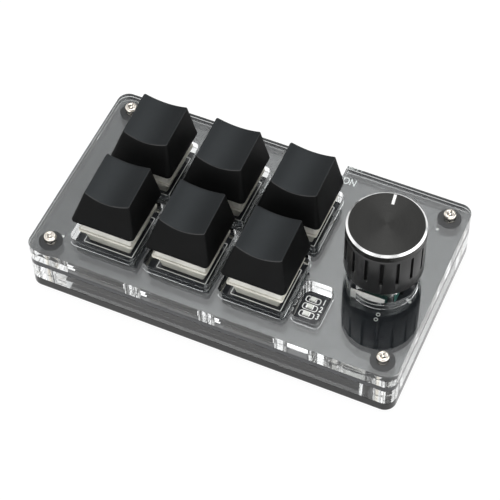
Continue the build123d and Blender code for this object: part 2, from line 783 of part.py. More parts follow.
# Knob skirt: moulded grip with upright grooves, a hollow underside and a hub for the flatted shaft
knob_plane = Plane((dial_x, dial_y, knob_bottom_z))
shaft_end = board_top + shaft_top - knob_bottom_z
hub_start = board_top + shaft_top - shaft_flat_length + knob_recess_clearance - knob_bottom_z
groove_height = knob_skirt_height - groove_foot - groove_head
with BuildPart() as knob_skirt:
    with BuildSketch(knob_plane):
        Circle(knob_diameter / 2)
    extrude(amount=knob_skirt_height)
    chamfer(knob_skirt.edges().group_by(Axis.Z)[-1], length=knob_edge)
    fillet(knob_skirt.edges().group_by(Axis.Z)[0], radius=knob_edge)
    with BuildSketch(knob_plane.offset(groove_foot)):
        with PolarLocations(knob_diameter / 2, groove_count, start_angle=groove_turn):
            SlotOverall(2 * groove_depth + groove_width, groove_width)
    extrude(amount=groove_height, mode=Mode.SUBTRACT)
    with BuildSketch(knob_plane):
        Circle(knob_diameter / 2 - knob_wall)
    extrude(amount=hub_start, mode=Mode.SUBTRACT)
    with BuildSketch(knob_plane.offset(hub_start)):
        Circle(knob_diameter / 2 - knob_wall)
        Circle(knob_hub_diameter / 2, mode=Mode.SUBTRACT)
    extrude(amount=knob_skirt_height - knob_roof - hub_start, mode=Mode.SUBTRACT)
    with BuildSketch(knob_plane.offset(hub_start)):
        Circle(shaft_diameter / 2 + knob_fit)
        with Locations((flat_place + knob_fit + shaft_diameter / 2, 0)):
            Rectangle(shaft_diameter, 2 * shaft_diameter, mode=Mode.SUBTRACT)
    extrude(amount=shaft_end + knob_fit - hub_start, mode=Mode.SUBTRACT)
    with BuildSketch(knob_plane.offset(knob_skirt_height)):
        Circle(spigot_diameter / 2 + knob_fit)
    extrude(amount=-(spigot_depth + knob_fit), mode=Mode.SUBTRACT)
knob_skirt.part.label = "knob_skirt"
export_step(knob_skirt.part, "parts/knob_skirt.step")

# Knob cap: turned aluminium disc with a bright chamfer, a spigot below and a painted pointer groove
knob_cap_radius = knob_diameter / 2 - knob_cap_step
pointer_middle = knob_cap_radius - knob_cap_chamfer - pointer_edge - pointer_length / 2
with BuildPart() as knob_cap:
    with BuildSketch(Plane((dial_x, dial_y, knob_skirt_top))):
        Circle(knob_cap_radius)
    extrude(amount=knob_cap_height)
    chamfer(knob_cap.edges().group_by(Axis.Z)[-1], length=knob_cap_chamfer)
    with BuildSketch(Plane((dial_x, dial_y, knob_skirt_top))):
        Circle(spigot_diameter / 2)
    extrude(amount=-spigot_depth)
    with BuildSketch(Plane((dial_x, dial_y, knob_top))):
        with PolarLocations(pointer_middle, 1, start_angle=pointer_turn):
            Rectangle(pointer_length, pointer_width)
    extrude(amount=-pointer_depth, mode=Mode.SUBTRACT)
knob_cap.part.label = "knob_cap"
export_step(knob_cap.part, "parts/knob_cap.step")

# Outline of the clear sheets, cut out for the switches, lights, dial, power switch and screws
with BuildSketch() as clear_outline:
    RectangleRounded(case_length, case_width, case_corner_radius)
    for key_x, key_y in key_places:
        with Locations((key_x, key_y + (key_opening_back - key_opening_front) / 2)):
            RectangleRounded(key_opening_width, key_opening_depth, key_opening_radius, mode=Mode.SUBTRACT)
    with Locations((light_window_x, light_window_y)):
        RectangleRounded(light_window_width, light_window_length, light_window_radius, mode=Mode.SUBTRACT)
    with Locations((dial_x, dial_y)):
        Circle(dial_opening_radius, mode=Mode.SUBTRACT)
    with Locations((last_column, case_width / 2)):
        RectangleRounded(power_notch_width, 2 * power_notch_depth, power_notch_radius, mode=Mode.SUBTRACT)
    with GridLocations(screw_span_x, screw_span_y, 2, 2):
        Circle(screw_hole_radius, mode=Mode.SUBTRACT)

# Spacer plate: thick clear acrylic sheet on the board
with BuildPart() as spacer_plate:
    with BuildSketch(Plane.XY.offset(board_top)):
        add(clear_outline.sketch)
    extrude(amount=spacer_thickness)
spacer_plate.part.label = "spacer_plate"
export_step(spacer_plate.part, "parts/spacer_plate.step")

# Top plate: thin clear acrylic sheet on the spacer, under the screw heads
with BuildPart() as top_plate:
    with BuildSketch(Plane.XY.offset(spacer_top)):
        add(clear_outline.sketch)
    extrude(amount=top_thickness)
top_plate.part.label = "top_plate"
export_step(top_plate.part, "parts/top_plate.step")

# Case screws: four pan-head screws with cross recesses, through every layer into the nuts
screw_length = case_top - bottom_z - screw_end_inset
with BuildPart() as case_screws:
    with BuildSketch(Plane.XY.offset(case_top)):
        with GridLocations(screw_span_x, screw_span_y, 2, 2):
            Circle(screw_head_diameter / 2)
    extrude(amount=screw_head_height)
    fillet(case_screws.edges().group_by(Axis.Z)[-1], radius=screw_head_round)
    with BuildSketch(Plane.XY.offset(case_top + screw_head_height)):
        with GridLocations(screw_span_x, screw_span_y, 2, 2):
            Rectangle(screw_cross_length, screw_cross_width)
            Rectangle(screw_cross_width, screw_cross_length)
    extrude(amount=-screw_cross_depth, mode=Mode.SUBTRACT)
    with BuildSketch(Plane.XY.offset(case_top)):
        with GridLocations(screw_span_x, screw_span_y, 2, 2):
            Circle(screw_diameter / 2)
    extrude(amount=-screw_length)
case_screws.part.label = "case_screws"
export_step(case_screws.part, "parts/case_screws.step")
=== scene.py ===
import json
import math

import bmesh
import bpy
from mathutils import Matrix, Vector

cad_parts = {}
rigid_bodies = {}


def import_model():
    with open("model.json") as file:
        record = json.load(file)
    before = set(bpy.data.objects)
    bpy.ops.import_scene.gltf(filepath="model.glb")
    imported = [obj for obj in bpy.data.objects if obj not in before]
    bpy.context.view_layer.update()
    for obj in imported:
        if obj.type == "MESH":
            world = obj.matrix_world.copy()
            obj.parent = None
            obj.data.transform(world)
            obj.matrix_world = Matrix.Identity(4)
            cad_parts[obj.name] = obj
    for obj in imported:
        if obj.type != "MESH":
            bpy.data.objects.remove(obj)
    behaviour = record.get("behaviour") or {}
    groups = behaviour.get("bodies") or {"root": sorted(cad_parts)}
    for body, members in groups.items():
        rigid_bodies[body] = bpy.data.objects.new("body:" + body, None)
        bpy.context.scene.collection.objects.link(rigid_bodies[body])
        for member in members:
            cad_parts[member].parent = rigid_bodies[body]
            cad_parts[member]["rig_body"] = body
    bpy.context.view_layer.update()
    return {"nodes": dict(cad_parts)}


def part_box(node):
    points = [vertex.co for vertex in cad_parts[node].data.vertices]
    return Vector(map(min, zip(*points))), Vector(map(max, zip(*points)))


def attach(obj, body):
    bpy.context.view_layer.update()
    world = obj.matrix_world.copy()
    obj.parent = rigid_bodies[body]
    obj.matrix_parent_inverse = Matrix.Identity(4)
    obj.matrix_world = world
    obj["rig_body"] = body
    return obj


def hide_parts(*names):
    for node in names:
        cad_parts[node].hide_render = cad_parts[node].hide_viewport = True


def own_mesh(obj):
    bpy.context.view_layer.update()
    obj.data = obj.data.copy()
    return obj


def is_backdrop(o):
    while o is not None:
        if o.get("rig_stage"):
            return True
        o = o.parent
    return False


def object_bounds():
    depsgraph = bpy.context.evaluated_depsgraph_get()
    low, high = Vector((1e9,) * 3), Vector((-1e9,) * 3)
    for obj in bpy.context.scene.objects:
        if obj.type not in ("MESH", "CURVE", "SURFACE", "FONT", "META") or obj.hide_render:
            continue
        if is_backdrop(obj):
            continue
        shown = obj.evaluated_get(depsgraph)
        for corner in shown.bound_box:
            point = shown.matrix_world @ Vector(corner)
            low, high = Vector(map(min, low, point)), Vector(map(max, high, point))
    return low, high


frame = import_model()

# Rubber feet
# Four soft black pads, moulded with a rounded rim and stuck under the corners of the bottom plate.
# The rubber is matt, with a fine moulded grain.
mm = 0.001
solids = frame["nodes"]


def place(tree, kind, inputs=None, **settings):
    """Puts a node in a tree. An input takes a value, or the socket that it is linked to."""
    node = tree.nodes.new(kind)
    for name, value in settings.items():
        setattr(node, name, value)
    for name, value in (inputs or {}).items():
        if isinstance(value, bpy.types.NodeSocket):
            tree.links.new(value, node.inputs[name])
        else:
            node.inputs[name].default_value = value
    return node


def surface_group(name, inputs):
    """An empty shader group from a colour and some values to a colour, roughness and normal."""
    group = bpy.data.node_groups.new(name, "ShaderNodeTree")
    group.interface.new_socket("Colour", in_out="INPUT", socket_type="NodeSocketColor")
    for value in inputs:
        group.interface.new_socket(value, in_out="INPUT", socket_type="NodeSocketFloat")
    group.interface.new_socket("Colour", in_out="OUTPUT", socket_type="NodeSocketColor")
    group.interface.new_socket("Roughness", in_out="OUTPUT", socket_type="NodeSocketFloat")
    group.interface.new_socket("Normal", in_out="OUTPUT", socket_type="NodeSocketVector")
    return group


def spread_range(tree, value, low, high):
    """Stretches the middle of a noise to run from low to high."""
    limits = {"Value": value, "From Min": 0.3, "From Max": 0.7, "To Min": low, "To Max": high}
    return place(tree, "ShaderNodeMapRange", limits).outputs["Result"]


# The grain of a moulding tool: fine relief, with the tone and gloss a little uneven
moulded_grain = surface_group(
    "moulded_grain", ("Grain Scale", "Grain Depth", "Roughness Low", "Roughness High")
)
given = place(moulded_grain, "NodeGroupInput").outputs
spot = place(moulded_grain, "ShaderNodeTexCoord").outputs["Object"]
fine = place(
    moulded_grain, "ShaderNodeTexNoise", {"Vector": spot, "Scale": given["Grain Scale"], "Detail": 3.0}
).outputs["Fac"]
broad = place(
    moulded_grain, "ShaderNodeTexNoise", {"Vector": spot, "Scale": 140.0, "Detail": 4.0}
).outputs["Fac"]
tone = spread_range(moulded_grain, broad, 0.84, 1.16)
shade = place(moulded_grain, "ShaderNodeHueSaturation", {"Color": given["Colour"], "Value": tone})
gloss = spread_range(moulded_grain, fine, given["Roughness Low"], given["Roughness High"])
relief = place(
    moulded_grain,
    "ShaderNodeBump",
    {"Height": fine, "Strength": given["Grain Depth"], "Distance": 0.1 * mm},
)
place(
    moulded_grain,
    "NodeGroupOutput",
    {"Colour": shade.outputs["Color"], "Roughness": gloss, "Normal": relief.outputs["Normal"]},
)


def surface(name, group, colour, marks, shader_values=None):
    """A material whose colour, roughness and relief come from a surface group."""
    material = bpy.data.materials.new(name)
    material.use_nodes = True
    tree = material.node_tree
    shader = tree.nodes["Principled BSDF"]
    for socket, value in (shader_values or {}).items():
        shader.inputs[socket].default_value = value
    skin = place(tree, "ShaderNodeGroup", {"Colour": (*colour, 1.0), **marks}, node_tree=group)
    tree.links.new(skin.outputs["Colour"], shader.inputs["Base Color"])
    tree.links.new(skin.outputs["Roughness"], shader.inputs["Roughness"])
    tree.links.new(skin.outputs["Normal"], shader.inputs["Normal"])
    return material


def moulded(name, colour, grain, depth, smooth, rough, **shader_values):
    """A moulded plastic or rubber. Its roughness runs from smooth to rough."""
    marks = {"Grain Scale": grain, "Grain Depth": depth, "Roughness Low": smooth, "Roughness High": rough}
    return surface(name, moulded_grain, colour, marks, shader_values)


def turned(profile, steps):
    """A shape turned about Z from pairs of radius and height, in metres."""
    shape = bmesh.new()
    rings = []
    for radius, height in profile:
        count = steps if radius > 0 else 1
        turns = [2 * math.pi * step / steps for step in range(count)]
        rings.append([shape.verts.new((radius * math.cos(a), radius * math.sin(a), height)) for a in turns])
    for lower, upper in zip(rings, rings[1:]):
        for step in range(steps):
            after = step + 1
            corners = [lower[step % len(lower)], lower[after % len(lower)]]
            corners += [upper[after % len(upper)], upper[step % len(upper)]]
            shape.faces.new(dict.fromkeys(corners))
    return shape


def as_piece(name, shape, *materials, sharp=30):
    """Makes a finished bmesh into a named object at the origin, smooth except at its sharp edges."""
    bmesh.ops.recalc_face_normals(shape, faces=shape.faces)
    mesh = bpy.data.meshes.new(name)
    shape.to_mesh(mesh)
    shape.free()
    mesh.shade_smooth()
    mesh.set_sharp_from_angle(angle=math.radians(sharp))
    for material in materials:
        mesh.materials.append(material)
    piece = bpy.data.objects.new(name, mesh)
    bpy.context.scene.collection.objects.link(piece)
    return piece


def plain_mesh(piece):
    """The mesh of a piece with its modifiers or its curve worked out."""
    graph = bpy.context.evaluated_depsgraph_get()
    return bpy.data.meshes.new_from_object(piece.evaluated_get(graph), depsgraph=graph)


def run_tree(piece, tree, values):
    """Runs a geometry tree on a piece and keeps what it makes as the piece's plain mesh."""
    modifier = piece.modifiers.new(tree.name, "NODES")
    modifier.node_group = tree
    for item in tree.interface.items_tree:
        if item.item_type == "SOCKET" and item.in_out == "INPUT" and item.name in values:
            modifier[item.identifier] = values[item.name]
    mesh = plain_mesh(piece)
    piece.modifiers.remove(modifier)
    piece.data = mesh


def geometry_tree(name, inputs):
    """An empty geometry tree with a shape in, named sizes and a shape out."""
    tree = bpy.data.node_groups.new(name, "GeometryNodeTree")
    tree.interface.new_socket("Shape", in_out="INPUT", socket_type="NodeSocketGeometry")
    for value, kind in inputs.items():
        tree.interface.new_socket(value, in_out="INPUT", socket_type="NodeSocket" + kind)
    tree.interface.new_socket("Material", in_out="INPUT", socket_type="NodeSocketMaterial")
    tree.interface.new_socket("Shape", in_out="OUTPUT", socket_type="NodeSocketGeometry")
    return tree


def end_tree(tree, instances, material):
    """Realizes the instances of a tree, gives them their material and puts them out."""
    real = place(tree, "GeometryNodeRealizeInstances", {"Geometry": instances})
    coated = place(
        tree, "GeometryNodeSetMaterial", {"Geometry": real.outputs["Geometry"], "Material": material}
    )
    place(tree, "NodeGroupOutput", {"Shape": coated.outputs["Geometry"]})


# Copies of one shape on a grid of places
spread_on_grid = geometry_tree(
    "spread_on_grid",
    {"Columns": "Int", "Rows": "Int", "Pitch X": "Float", "Pitch Y": "Float", "Middle": "Vector"},
)
given = place(spread_on_grid, "NodeGroupInput").outputs
grid_sizes = {}
for count, pitch, size in (("Columns", "Pitch X", "Size X"), ("Rows", "Pitch Y", "Size Y")):
    gaps = place(spread_on_grid, "ShaderNodeMath", {0: given[count], 1: 1.0}, operation="SUBTRACT")
    span = place(
        spread_on_grid, "ShaderNodeMath", {0: gaps.outputs["Value"], 1: given[pitch]}, operation="MULTIPLY"
    )
    grid_sizes[size] = span.outputs["Value"]
grid = place(
    spread_on_grid,
    "GeometryNodeMeshGrid",
    {**grid_sizes, "Vertices X": given["Columns"], "Vertices Y": given["Rows"]},
)
moved = place(
    spread_on_grid,
    "GeometryNodeTransform",
    {"Geometry": grid.outputs["Mesh"], "Translation": given["Middle"]},
)
copies = place(
    spread_on_grid,
    "GeometryNodeInstanceOnPoints",
    {"Points": moved.outputs["Geometry"], "Instance": given["Shape"]},
)
end_tree(spread_on_grid, copies.outputs["Instances"], given["Material"])


def spread(piece, material, columns, rows, pitch_x, pitch_y, middle):
    """Repeats a piece's shape on a grid of places round a middle point."""
    values = {"Columns": columns, "Rows": rows, "Pitch X": pitch_x, "Pitch Y": pitch_y}
    run_tree(piece, spread_on_grid, {**values, "Middle": middle, "Material": material})


def stands_for(piece, node):
    """Puts a piece in the place of a CAD node, which it hides, on the same body."""
    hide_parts(node)
    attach(piece, solids[node]["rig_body"])


foot_rubber = moulded("foot_rubber", (0.02, 0.02, 0.021), grain=2600.0, depth=0.6, smooth=0.68, rough=0.86)
foot_low, foot_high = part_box("rubber_feet")
foot_radius = 4.0 * mm
foot_round = 0.4 * mm
foot_dish_depth = 0.1 * mm
foot_dish_radius = 2.6 * mm
foot_dish_rim = 2.9 * mm
foot_profile = [(0, foot_dish_depth), (foot_dish_radius, foot_dish_depth), (foot_dish_rim, 0)]
for step in range(5):
    turn = math.radians(90 * step / 4)
    rim = foot_radius - foot_round
    foot_profile.append((rim + foot_round * math.sin(turn), foot_round * (1 - math.cos(turn))))
foot_profile += [(foot_radius, foot_high.z), (0, foot_high.z)]
feet = as_piece("feet", turned(foot_profile, steps=48))
foot_span = foot_high - foot_low
spread(feet, foot_rubber, 2, 2, foot_span.x - 2 * foot_radius, foot_span.y - 2 * foot_radius, (0, 0, 0))
stands_for(feet, "rubber_feet")

# Bottom plate
# A 3 mm sheet of black acrylic, laser cut to the outline of the case, with a pocket for each nut.
# Its cut edge is polished by the beam and its sharp corners are broken.

# A polished face: hairline scratches two ways, and a thin film of finger marks
polished = surface_group("polished", ("Mark Scale", "Mark Depth", "Roughness Low", "Roughness High"))
given = place(polished, "NodeGroupInput").outputs
spot = place(polished, "ShaderNodeTexCoord").outputs["Object"]
hairs = []
for stretch, angle in (((1.0, 40.0, 1.0), 0.5), ((40.0, 1.0, 1.0), 0.9)):
    turned_spot = place(
        polished, "ShaderNodeMapping", {"Vector": spot, "Scale": stretch, "Rotation": (0.0, 0.0, angle)}
    )
    hair = place(
        polished,
        "ShaderNodeTexNoise",
        {"Vector": turned_spot.outputs["Vector"], "Scale": given["Mark Scale"], "Detail": 2.0},
    )
    thin = {"Value": hair.outputs["Fac"], "From Min": 0.66, "From Max": 0.74}
    hairs.append(place(polished, "ShaderNodeMapRange", thin).outputs["Result"])
hair = place(polished, "ShaderNodeMath", {0: hairs[0], 1: hairs[1]}, operation="MAXIMUM").outputs["Value"]
film = place(polished, "ShaderNodeTexNoise", {"Vector": spot, "Scale": 55.0, "Detail": 3.0}).outputs["Fac"]
film = place(
    polished, "ShaderNodeMapRange", {"Value": film, "From Min": 0.45, "From Max": 0.8}
).outputs["Result"]
marks = place(polished, "ShaderNodeMath", {0: hair, 1: film}, operation="MAXIMUM").outputs["Value"]
gloss = place(
    polished,
    "ShaderNodeMapRange",
    {"Value": marks, "To Min": given["Roughness Low"], "To Max": given["Roughness High"]},
)
tone = place(
    polished, "ShaderNodeMapRange", {"Value": marks, "To Min": 1.0, "To Max": 0.96}
).outputs["Result"]
shade = place(polished, "ShaderNodeHueSaturation", {"Color": given["Colour"], "Value": tone})
relief = place(
    polished, "ShaderNodeBump", {"Height": hair, "Strength": given["Mark Depth"], "Distance": -0.01 * mm}
)
place(
    polished,
    "NodeGroupOutput",
    {
        "Colour": shade.outputs["Color"],
        "Roughness": gloss.outputs["Result"],
        "Normal": relief.outputs["Normal"],
    },
)


def polish(name, colour, depth, smooth, rough, **shader_values):
    """A polished sheet or metal. Its roughness runs from smooth to rough."""
    marks = {"Mark Scale": 220.0, "Mark Depth": depth, "Roughness Low": smooth, "Roughness High": rough}
    return surface(name, polished, colour, marks, shader_values)


merge_distance = 0.001 * mm
face_slack = 0.01 * mm


def softened(name, node, edge_width, *materials, lift=0.0, sharp=40):
    """A copy of a solid with its sharp edges broken, and its two flat faces drawn in by lift."""
    shape = bmesh.new()
    shape.from_mesh(solids[node].data)
    bmesh.ops.remove_doubles(shape, verts=shape.verts, dist=merge_distance)
    flat = math.radians(0.5)
    bmesh.ops.dissolve_limit(shape, angle_limit=flat, verts=shape.verts, edges=shape.edges)
    low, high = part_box(node)
    for vert in shape.verts:
        if vert.co.z < low.z + face_slack:
            vert.co.z += lift
        elif vert.co.z > high.z - face_slack:
            vert.co.z -= lift
    two_sided = [edge for edge in shape.edges if len(edge.link_faces) == 2]
    corners = [edge for edge in two_sided if edge.calc_face_angle() > math.radians(sharp)]
    bmesh.ops.bevel(
        shape, geom=corners, offset=edge_width, segments=1, profile=0.5, affect="EDGES", clamp_overlap=True
    )
    return as_piece(name, shape, *materials)


black_acrylic = polish(
    "black_acrylic",
    (0.012, 0.012, 0.012),
    depth=0.25,
    smooth=0.06,
    rough=0.22,
    **{"Specular IOR Level": 0.25},
)
plate_edge = 0.12 * mm
bottom = softened("bottom_sheet", "bottom_plate", plate_edge, black_acrylic)
stands_for(bottom, "bottom_plate")

# Case nuts
# Four small hexagonal nuts of zinc-plated steel, pressed into the pockets of the bottom plate.
# They take the ends of the case screws.


def dress(material, *names):
    """Gives CAD nodes their finish."""
    for name in names:
        for place_of_material in solids[name].material_slots:
            place_of_material.material = material


screw_steel = polish("screw_steel", (0.84, 0.79, 0.72), depth=0.5, smooth=0.14, rough=0.26, Metallic=1.0)
dress(screw_steel, "case_nuts")

# Middle frame
# A 6 mm ring of clear acrylic with solid corners, laser cut and open at the back for the data port.
# A film of air keeps its faces bright where they meet its neighbours, and light passes straight through it.
air_film = 0.03 * mm
clear_acrylic = polish(
    "clear_acrylic",
    (0.97, 0.985, 0.985),
    depth=0.05,
    smooth=0.0,
    rough=0.02,
    **{"Transmission Weight": 1.0, "IOR": 1.49},
)
clear_tree = clear_acrylic.node_tree
ray = place(clear_tree, "ShaderNodeLightPath").outputs
lighting = place(
    clear_tree, "ShaderNodeMath", {0: ray["Is Shadow Ray"], 1: ray["Is Diffuse Ray"]}, operation="MAXIMUM"
)
open_way = place(clear_tree, "ShaderNodeBsdfTransparent", {"Color": (0.92, 0.93, 0.93, 1.0)})
clear_way = place(
    clear_tree,
    "ShaderNodeMixShader",
    {
        0: lighting.outputs["Value"],
        1: clear_tree.nodes["Principled BSDF"].outputs["BSDF"],
        2: open_way.outputs["BSDF"],
    },
)
clear_tree.links.new(clear_way.outputs["Shader"], clear_tree.nodes["Material Output"].inputs["Surface"])
clear_turns = 48
bpy.context.scene.cycles.max_bounces = clear_turns
bpy.context.scene.cycles.glossy_bounces = clear_turns
bpy.context.scene.cycles.transmission_bounces = clear_turns
ring = softened("frame_ring", "mid_frame", plate_edge, clear_acrylic, lift=air_film)
stands_for(ring, "mid_frame")

# Battery
# A flat lithium pouch in silver laminated foil, stuck to the bottom plate under the keys.
# The foil is finely scratched and the edges of the pouch are soft.
battery_foil = polish("battery_foil", (0.72, 0.73, 0.74), depth=0.9, smooth=0.25, rough=0.42, Metallic=1.0)
pouch_edge = 0.3 * mm
pouch = softened("battery_pouch", "battery", pouch_edge, battery_foil)
stands_for(pouch, "battery")

# Circuit board
# A 1.6 mm board in black solder mask, routed to the outline of the case and drilled for its parts.
# White ink marks the switches, lights and power switch, and a few vias are tinned; three bright tinned dots
# are painted highlights that stand for glints.
board_mask = polish("board_mask", (0.02, 0.0215, 0.025), depth=0.1, smooth=0.1, rough=0.18)
dress(board_mask, "circuit_board")
white_ink = moulded("white_ink", (0.88, 0.88, 0.87), grain=5200.0, depth=0.2, smooth=0.5, rough=0.65)
ink_thickness = 0.012 * mm
ink_width = 0.25 * mm
board_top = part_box("circuit_board")[1].z


def rounded(width, depth, radius, corner_steps, side_steps, middle_y=0.0):
    """Points round a rounded rectangle, anticlockwise from the right end of its front side."""
    corners = []
    for x, y, start in ((1, -1, -90), (1, 1, 0), (-1, 1, 90), (-1, -1, 180)):
        arc = []
        for step in range(corner_steps + 1):
            turn = math.radians(start + 90 * step / corner_steps)
            middle_x = x * (width / 2 - radius)
            arc.append(
                (
                    middle_x + radius * math.cos(turn),
                    middle_y + y * (depth / 2 - radius) + radius * math.sin(turn),
                )
            )
        corners.append(arc)
    points = []
    for arc, following in zip(corners, corners[1:] + corners[:1]):
        points += arc
        for step in range(1, side_steps):
            share = step / side_steps
            points.append(tuple(a + share * (b - a) for a, b in zip(arc[-1], following[0])))
    return points


def band(outer, inner, low, high):
    """A closed flat band between two outlines with as many points."""
    shape = bmesh.new()
    loops = []
    for outline, height in ((outer, low), (outer, high), (inner, high), (inner, low)):
        loops.append([shape.verts.new((x, y, height)) for x, y in outline])
    for one, two in zip(loops, loops[1:] + loops[:1]):
        for step in range(len(one)):
            after = (step + 1) % len(one)
            shape.faces.new((one[step], one[after], two[after], two[step]))
    return shape


def outline_print(name, width, depth, radius, steps):
    """The printed outline of a rounded rectangle, its middle at the origin."""
    sizes = []
    for grow in (ink_width / 2, -ink_width / 2):
        sizes.append(rounded(width + 2 * grow, depth + 2 * grow, radius + grow, steps, side_steps=2))
    return as_piece(name, band(*sizes, 0, ink_thickness))


def on_case(piece):
    """Fixes an added piece to the case."""
    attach(piece, "case")


key_middles = []
for number in range(1, 7):
    low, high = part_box(f"keycap_{number}")
    key_middles.append((low + high) / 2)
key_pitch_x = key_middles[1].x - key_middles[0].x
key_pitch_y = key_middles[0].y - key_middles[3].y
key_field = (key_middles[1].x, (key_middles[0].y + key_middles[3].y) / 2, board_top)
switch_size = 14.0 * mm
switch_mark_round = 0.12 * mm
switch_marks = outline_print("switch_marks", switch_size, switch_size, switch_mark_round, steps=1)
spread(switch_marks, white_ink, 3, 2, key_pitch_x, key_pitch_y, key_field)
on_case(switch_marks)

light_low, light_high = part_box("status_lights")
light_middle = (light_low + light_high) / 2
light_depth = 1.25 * mm
light_pitch = (light_high.y - light_low.y - light_depth) / 2
light_place = (light_middle.x, light_middle.y, board_top)
light_mark_length = 3.9 * mm
light_mark_depth = 1.75 * mm
light_mark_round = 0.6 * mm
light_marks = outline_print("light_marks", light_mark_length, light_mark_depth, light_mark_round, steps=6)
spread(light_marks, white_ink, 1, 3, 1.0, light_pitch, light_place)
on_case(light_marks)

letter_bold = 0.04 * mm
letter_narrow = 0.75


def lettering(name, words, size, x, y):
    """Printed words on the board in narrow letters, upright as seen from the front."""
    curve = bpy.data.curves.new(name, "FONT")
    curve.body = words
    curve.size = size
    curve.extrude = ink_thickness / 2
    curve.offset = letter_bold
    curve.align_x = "CENTER"
    curve.align_y = "CENTER"
    text = bpy.data.objects.new(name, curve)
    bpy.context.scene.collection.objects.link(text)
    mesh = plain_mesh(text)
    bpy.data.objects.remove(text)
    mesh.transform(Matrix.Diagonal((letter_narrow, 1.0, 1.0, 1.0)))
    mesh.transform(Matrix.Translation((x, y, board_top + ink_thickness / 2)))
    mesh.materials.clear()
    mesh.materials.append(white_ink)
    piece = bpy.data.objects.new(name, mesh)
    bpy.context.scene.collection.objects.link(piece)
    on_case(piece)


digit_size = 2.5 * mm
digit_x = light_middle.x + 2.9 * mm
digit_rise = 0.3 * mm
for number in range(3):
    digit_y = light_middle.y + (1 - number) * light_pitch + digit_rise
    lettering(f"light_number_{number + 1}", str(number + 1), digit_size, digit_x, digit_y)
power_word_size = 3.2 * mm
power_word_x = 17.3 * mm
power_word_y = 26.2 * mm
lettering("power_word", "ON", power_word_size, power_word_x, power_word_y)

via_tin = polish("via_tin", (0.8, 0.79, 0.77), depth=0.4, smooth=0.5, rough=0.6, Metallic=1.0)
dial_low, dial_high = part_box("knob_cap")
dial_x = (dial_low.x + dial_high.x) / 2
dial_y = (dial_low.y + dial_high.y) / 2
via_size = 0.9 * mm
via_pitch = 1.6 * mm
via_place = (dial_x + 2.95 * mm, dial_y - 11.3 * mm, board_top)
vias = outline_print("via_rings", via_size, via_size, via_size / 2, steps=6)
spread(vias, via_tin, 1, 2, 1.0, via_pitch, via_place)
on_case(vias)
# Painted highlights: three small bright tinned dots on the board that stand for glints.
dot_profile = [(0, 0), (0.45 * mm, 0), (0.42 * mm, 0.03 * mm), (0, 0.05 * mm)]
dot_places = ((-45.1 * mm, -20.3 * mm), (44.4 * mm, 20.8 * mm), (46.0 * mm, -3.6 * mm))
glint_dots = bmesh.new()
for x, y in dot_places:
    dot = turned(dot_profile, steps=20)
    bmesh.ops.translate(dot, verts=dot.verts, vec=(x, y, board_top))
    dot_mesh = bpy.data.meshes.new("glint_dot")
    dot.to_mesh(dot_mesh)
    dot.free()
    glint_dots.from_mesh(dot_mesh)
on_case(as_piece("glint_dots", glint_dots, via_tin))

# Parts under the board
# Switch sockets, the controller, its crystal, regulator and small chips, and the battery's header.
# They are soldered to the underside of the board, in moulded epoxy, ceramic, nylon and tinned steel.
socket_nylon = moulded(
    "socket_nylon", (0.016, 0.016, 0.016), grain=3200.0, depth=0.4, smooth=0.5, rough=0.65
)
chip_epoxy = moulded("chip_epoxy", (0.02, 0.02, 0.021), grain=4200.0, depth=0.5, smooth=0.55, rough=0.7)
chip_ceramic = moulded("chip_ceramic", (0.3, 0.22, 0.14), grain=5000.0, depth=0.4, smooth=0.45, rough=0.6)
header_nylon = moulded("header_nylon", (0.74, 0.72, 0.64), grain=3000.0, depth=0.3, smooth=0.4, rough=0.55)
tinned_steel = polish("tinned_steel", (0.7, 0.7, 0.69), depth=0.5, smooth=0.16, rough=0.32, Metallic=1.0)
dress(socket_nylon, "hot_swap_sockets")
dress(chip_epoxy, "controller_chip", "voltage_regulator")
dress(chip_ceramic, "passives")
dress(header_nylon, "battery_connector")
dress(tinned_steel, "crystal")

# Data port
# A folded steel shell with a black nylon tongue, soldered under the board at the back edge.
# Its oval mouth is level with the edge of the case.
dress(tinned_steel, "port_shell")
dress(socket_nylon, "port_tongue")

# Status lights
# Three small chip lights, each a block of pale resin moulded on a tinned base.
# The ends of the bases are soldered to the board.
light_resin = moulded("light_resin", (0.78, 0.79, 0.74), grain=2400.0, depth=0.1, smooth=0.18, rough=0.3)
light_length = light_high.x - light_low.x
light_base_height = 0.4 * mm
resin_round = 0.1 * mm
# Width, depth and height of each level of the resin, in millimetres
resin_sizes = ((1.3, 1.15, 0.35), (1.3, 1.15, 0.75), (1.2, 1.05, 0.8))
base_shape = bmesh.new()
bmesh.ops.create_cube(base_shape, size=1.0)
for vert in base_shape.verts:
    vert.co.x *= light_length
    vert.co.y *= light_depth
    vert.co.z = (vert.co.z + 0.5) * light_base_height
light_bases = as_piece("light_bases", base_shape)
spread(light_bases, tinned_steel, 1, 3, 1.0, light_pitch, light_place)
on_case(light_bases)
resin_shape = bmesh.new()
resin_rings = []
for width, depth, height in resin_sizes:
    outline = rounded(width * mm, depth * mm, resin_round, corner_steps=3, side_steps=1)
    resin_rings.append([resin_shape.verts.new((x, y, height * mm)) for x, y in outline])
for one, two in zip(resin_rings, resin_rings[1:]):
    for step in range(len(one)):
        after = (step + 1) % len(one)
        resin_shape.faces.new((one[step], one[after], two[after], two[step]))
resin_shape.faces.new(resin_rings[0])
resin_shape.faces.new(resin_rings[-1])
light_blocks = as_piece("light_blocks", resin_shape)
spread(light_blocks, light_resin, 1, 3, 1.0, light_pitch, light_place)
stands_for(light_blocks, "status_lights")

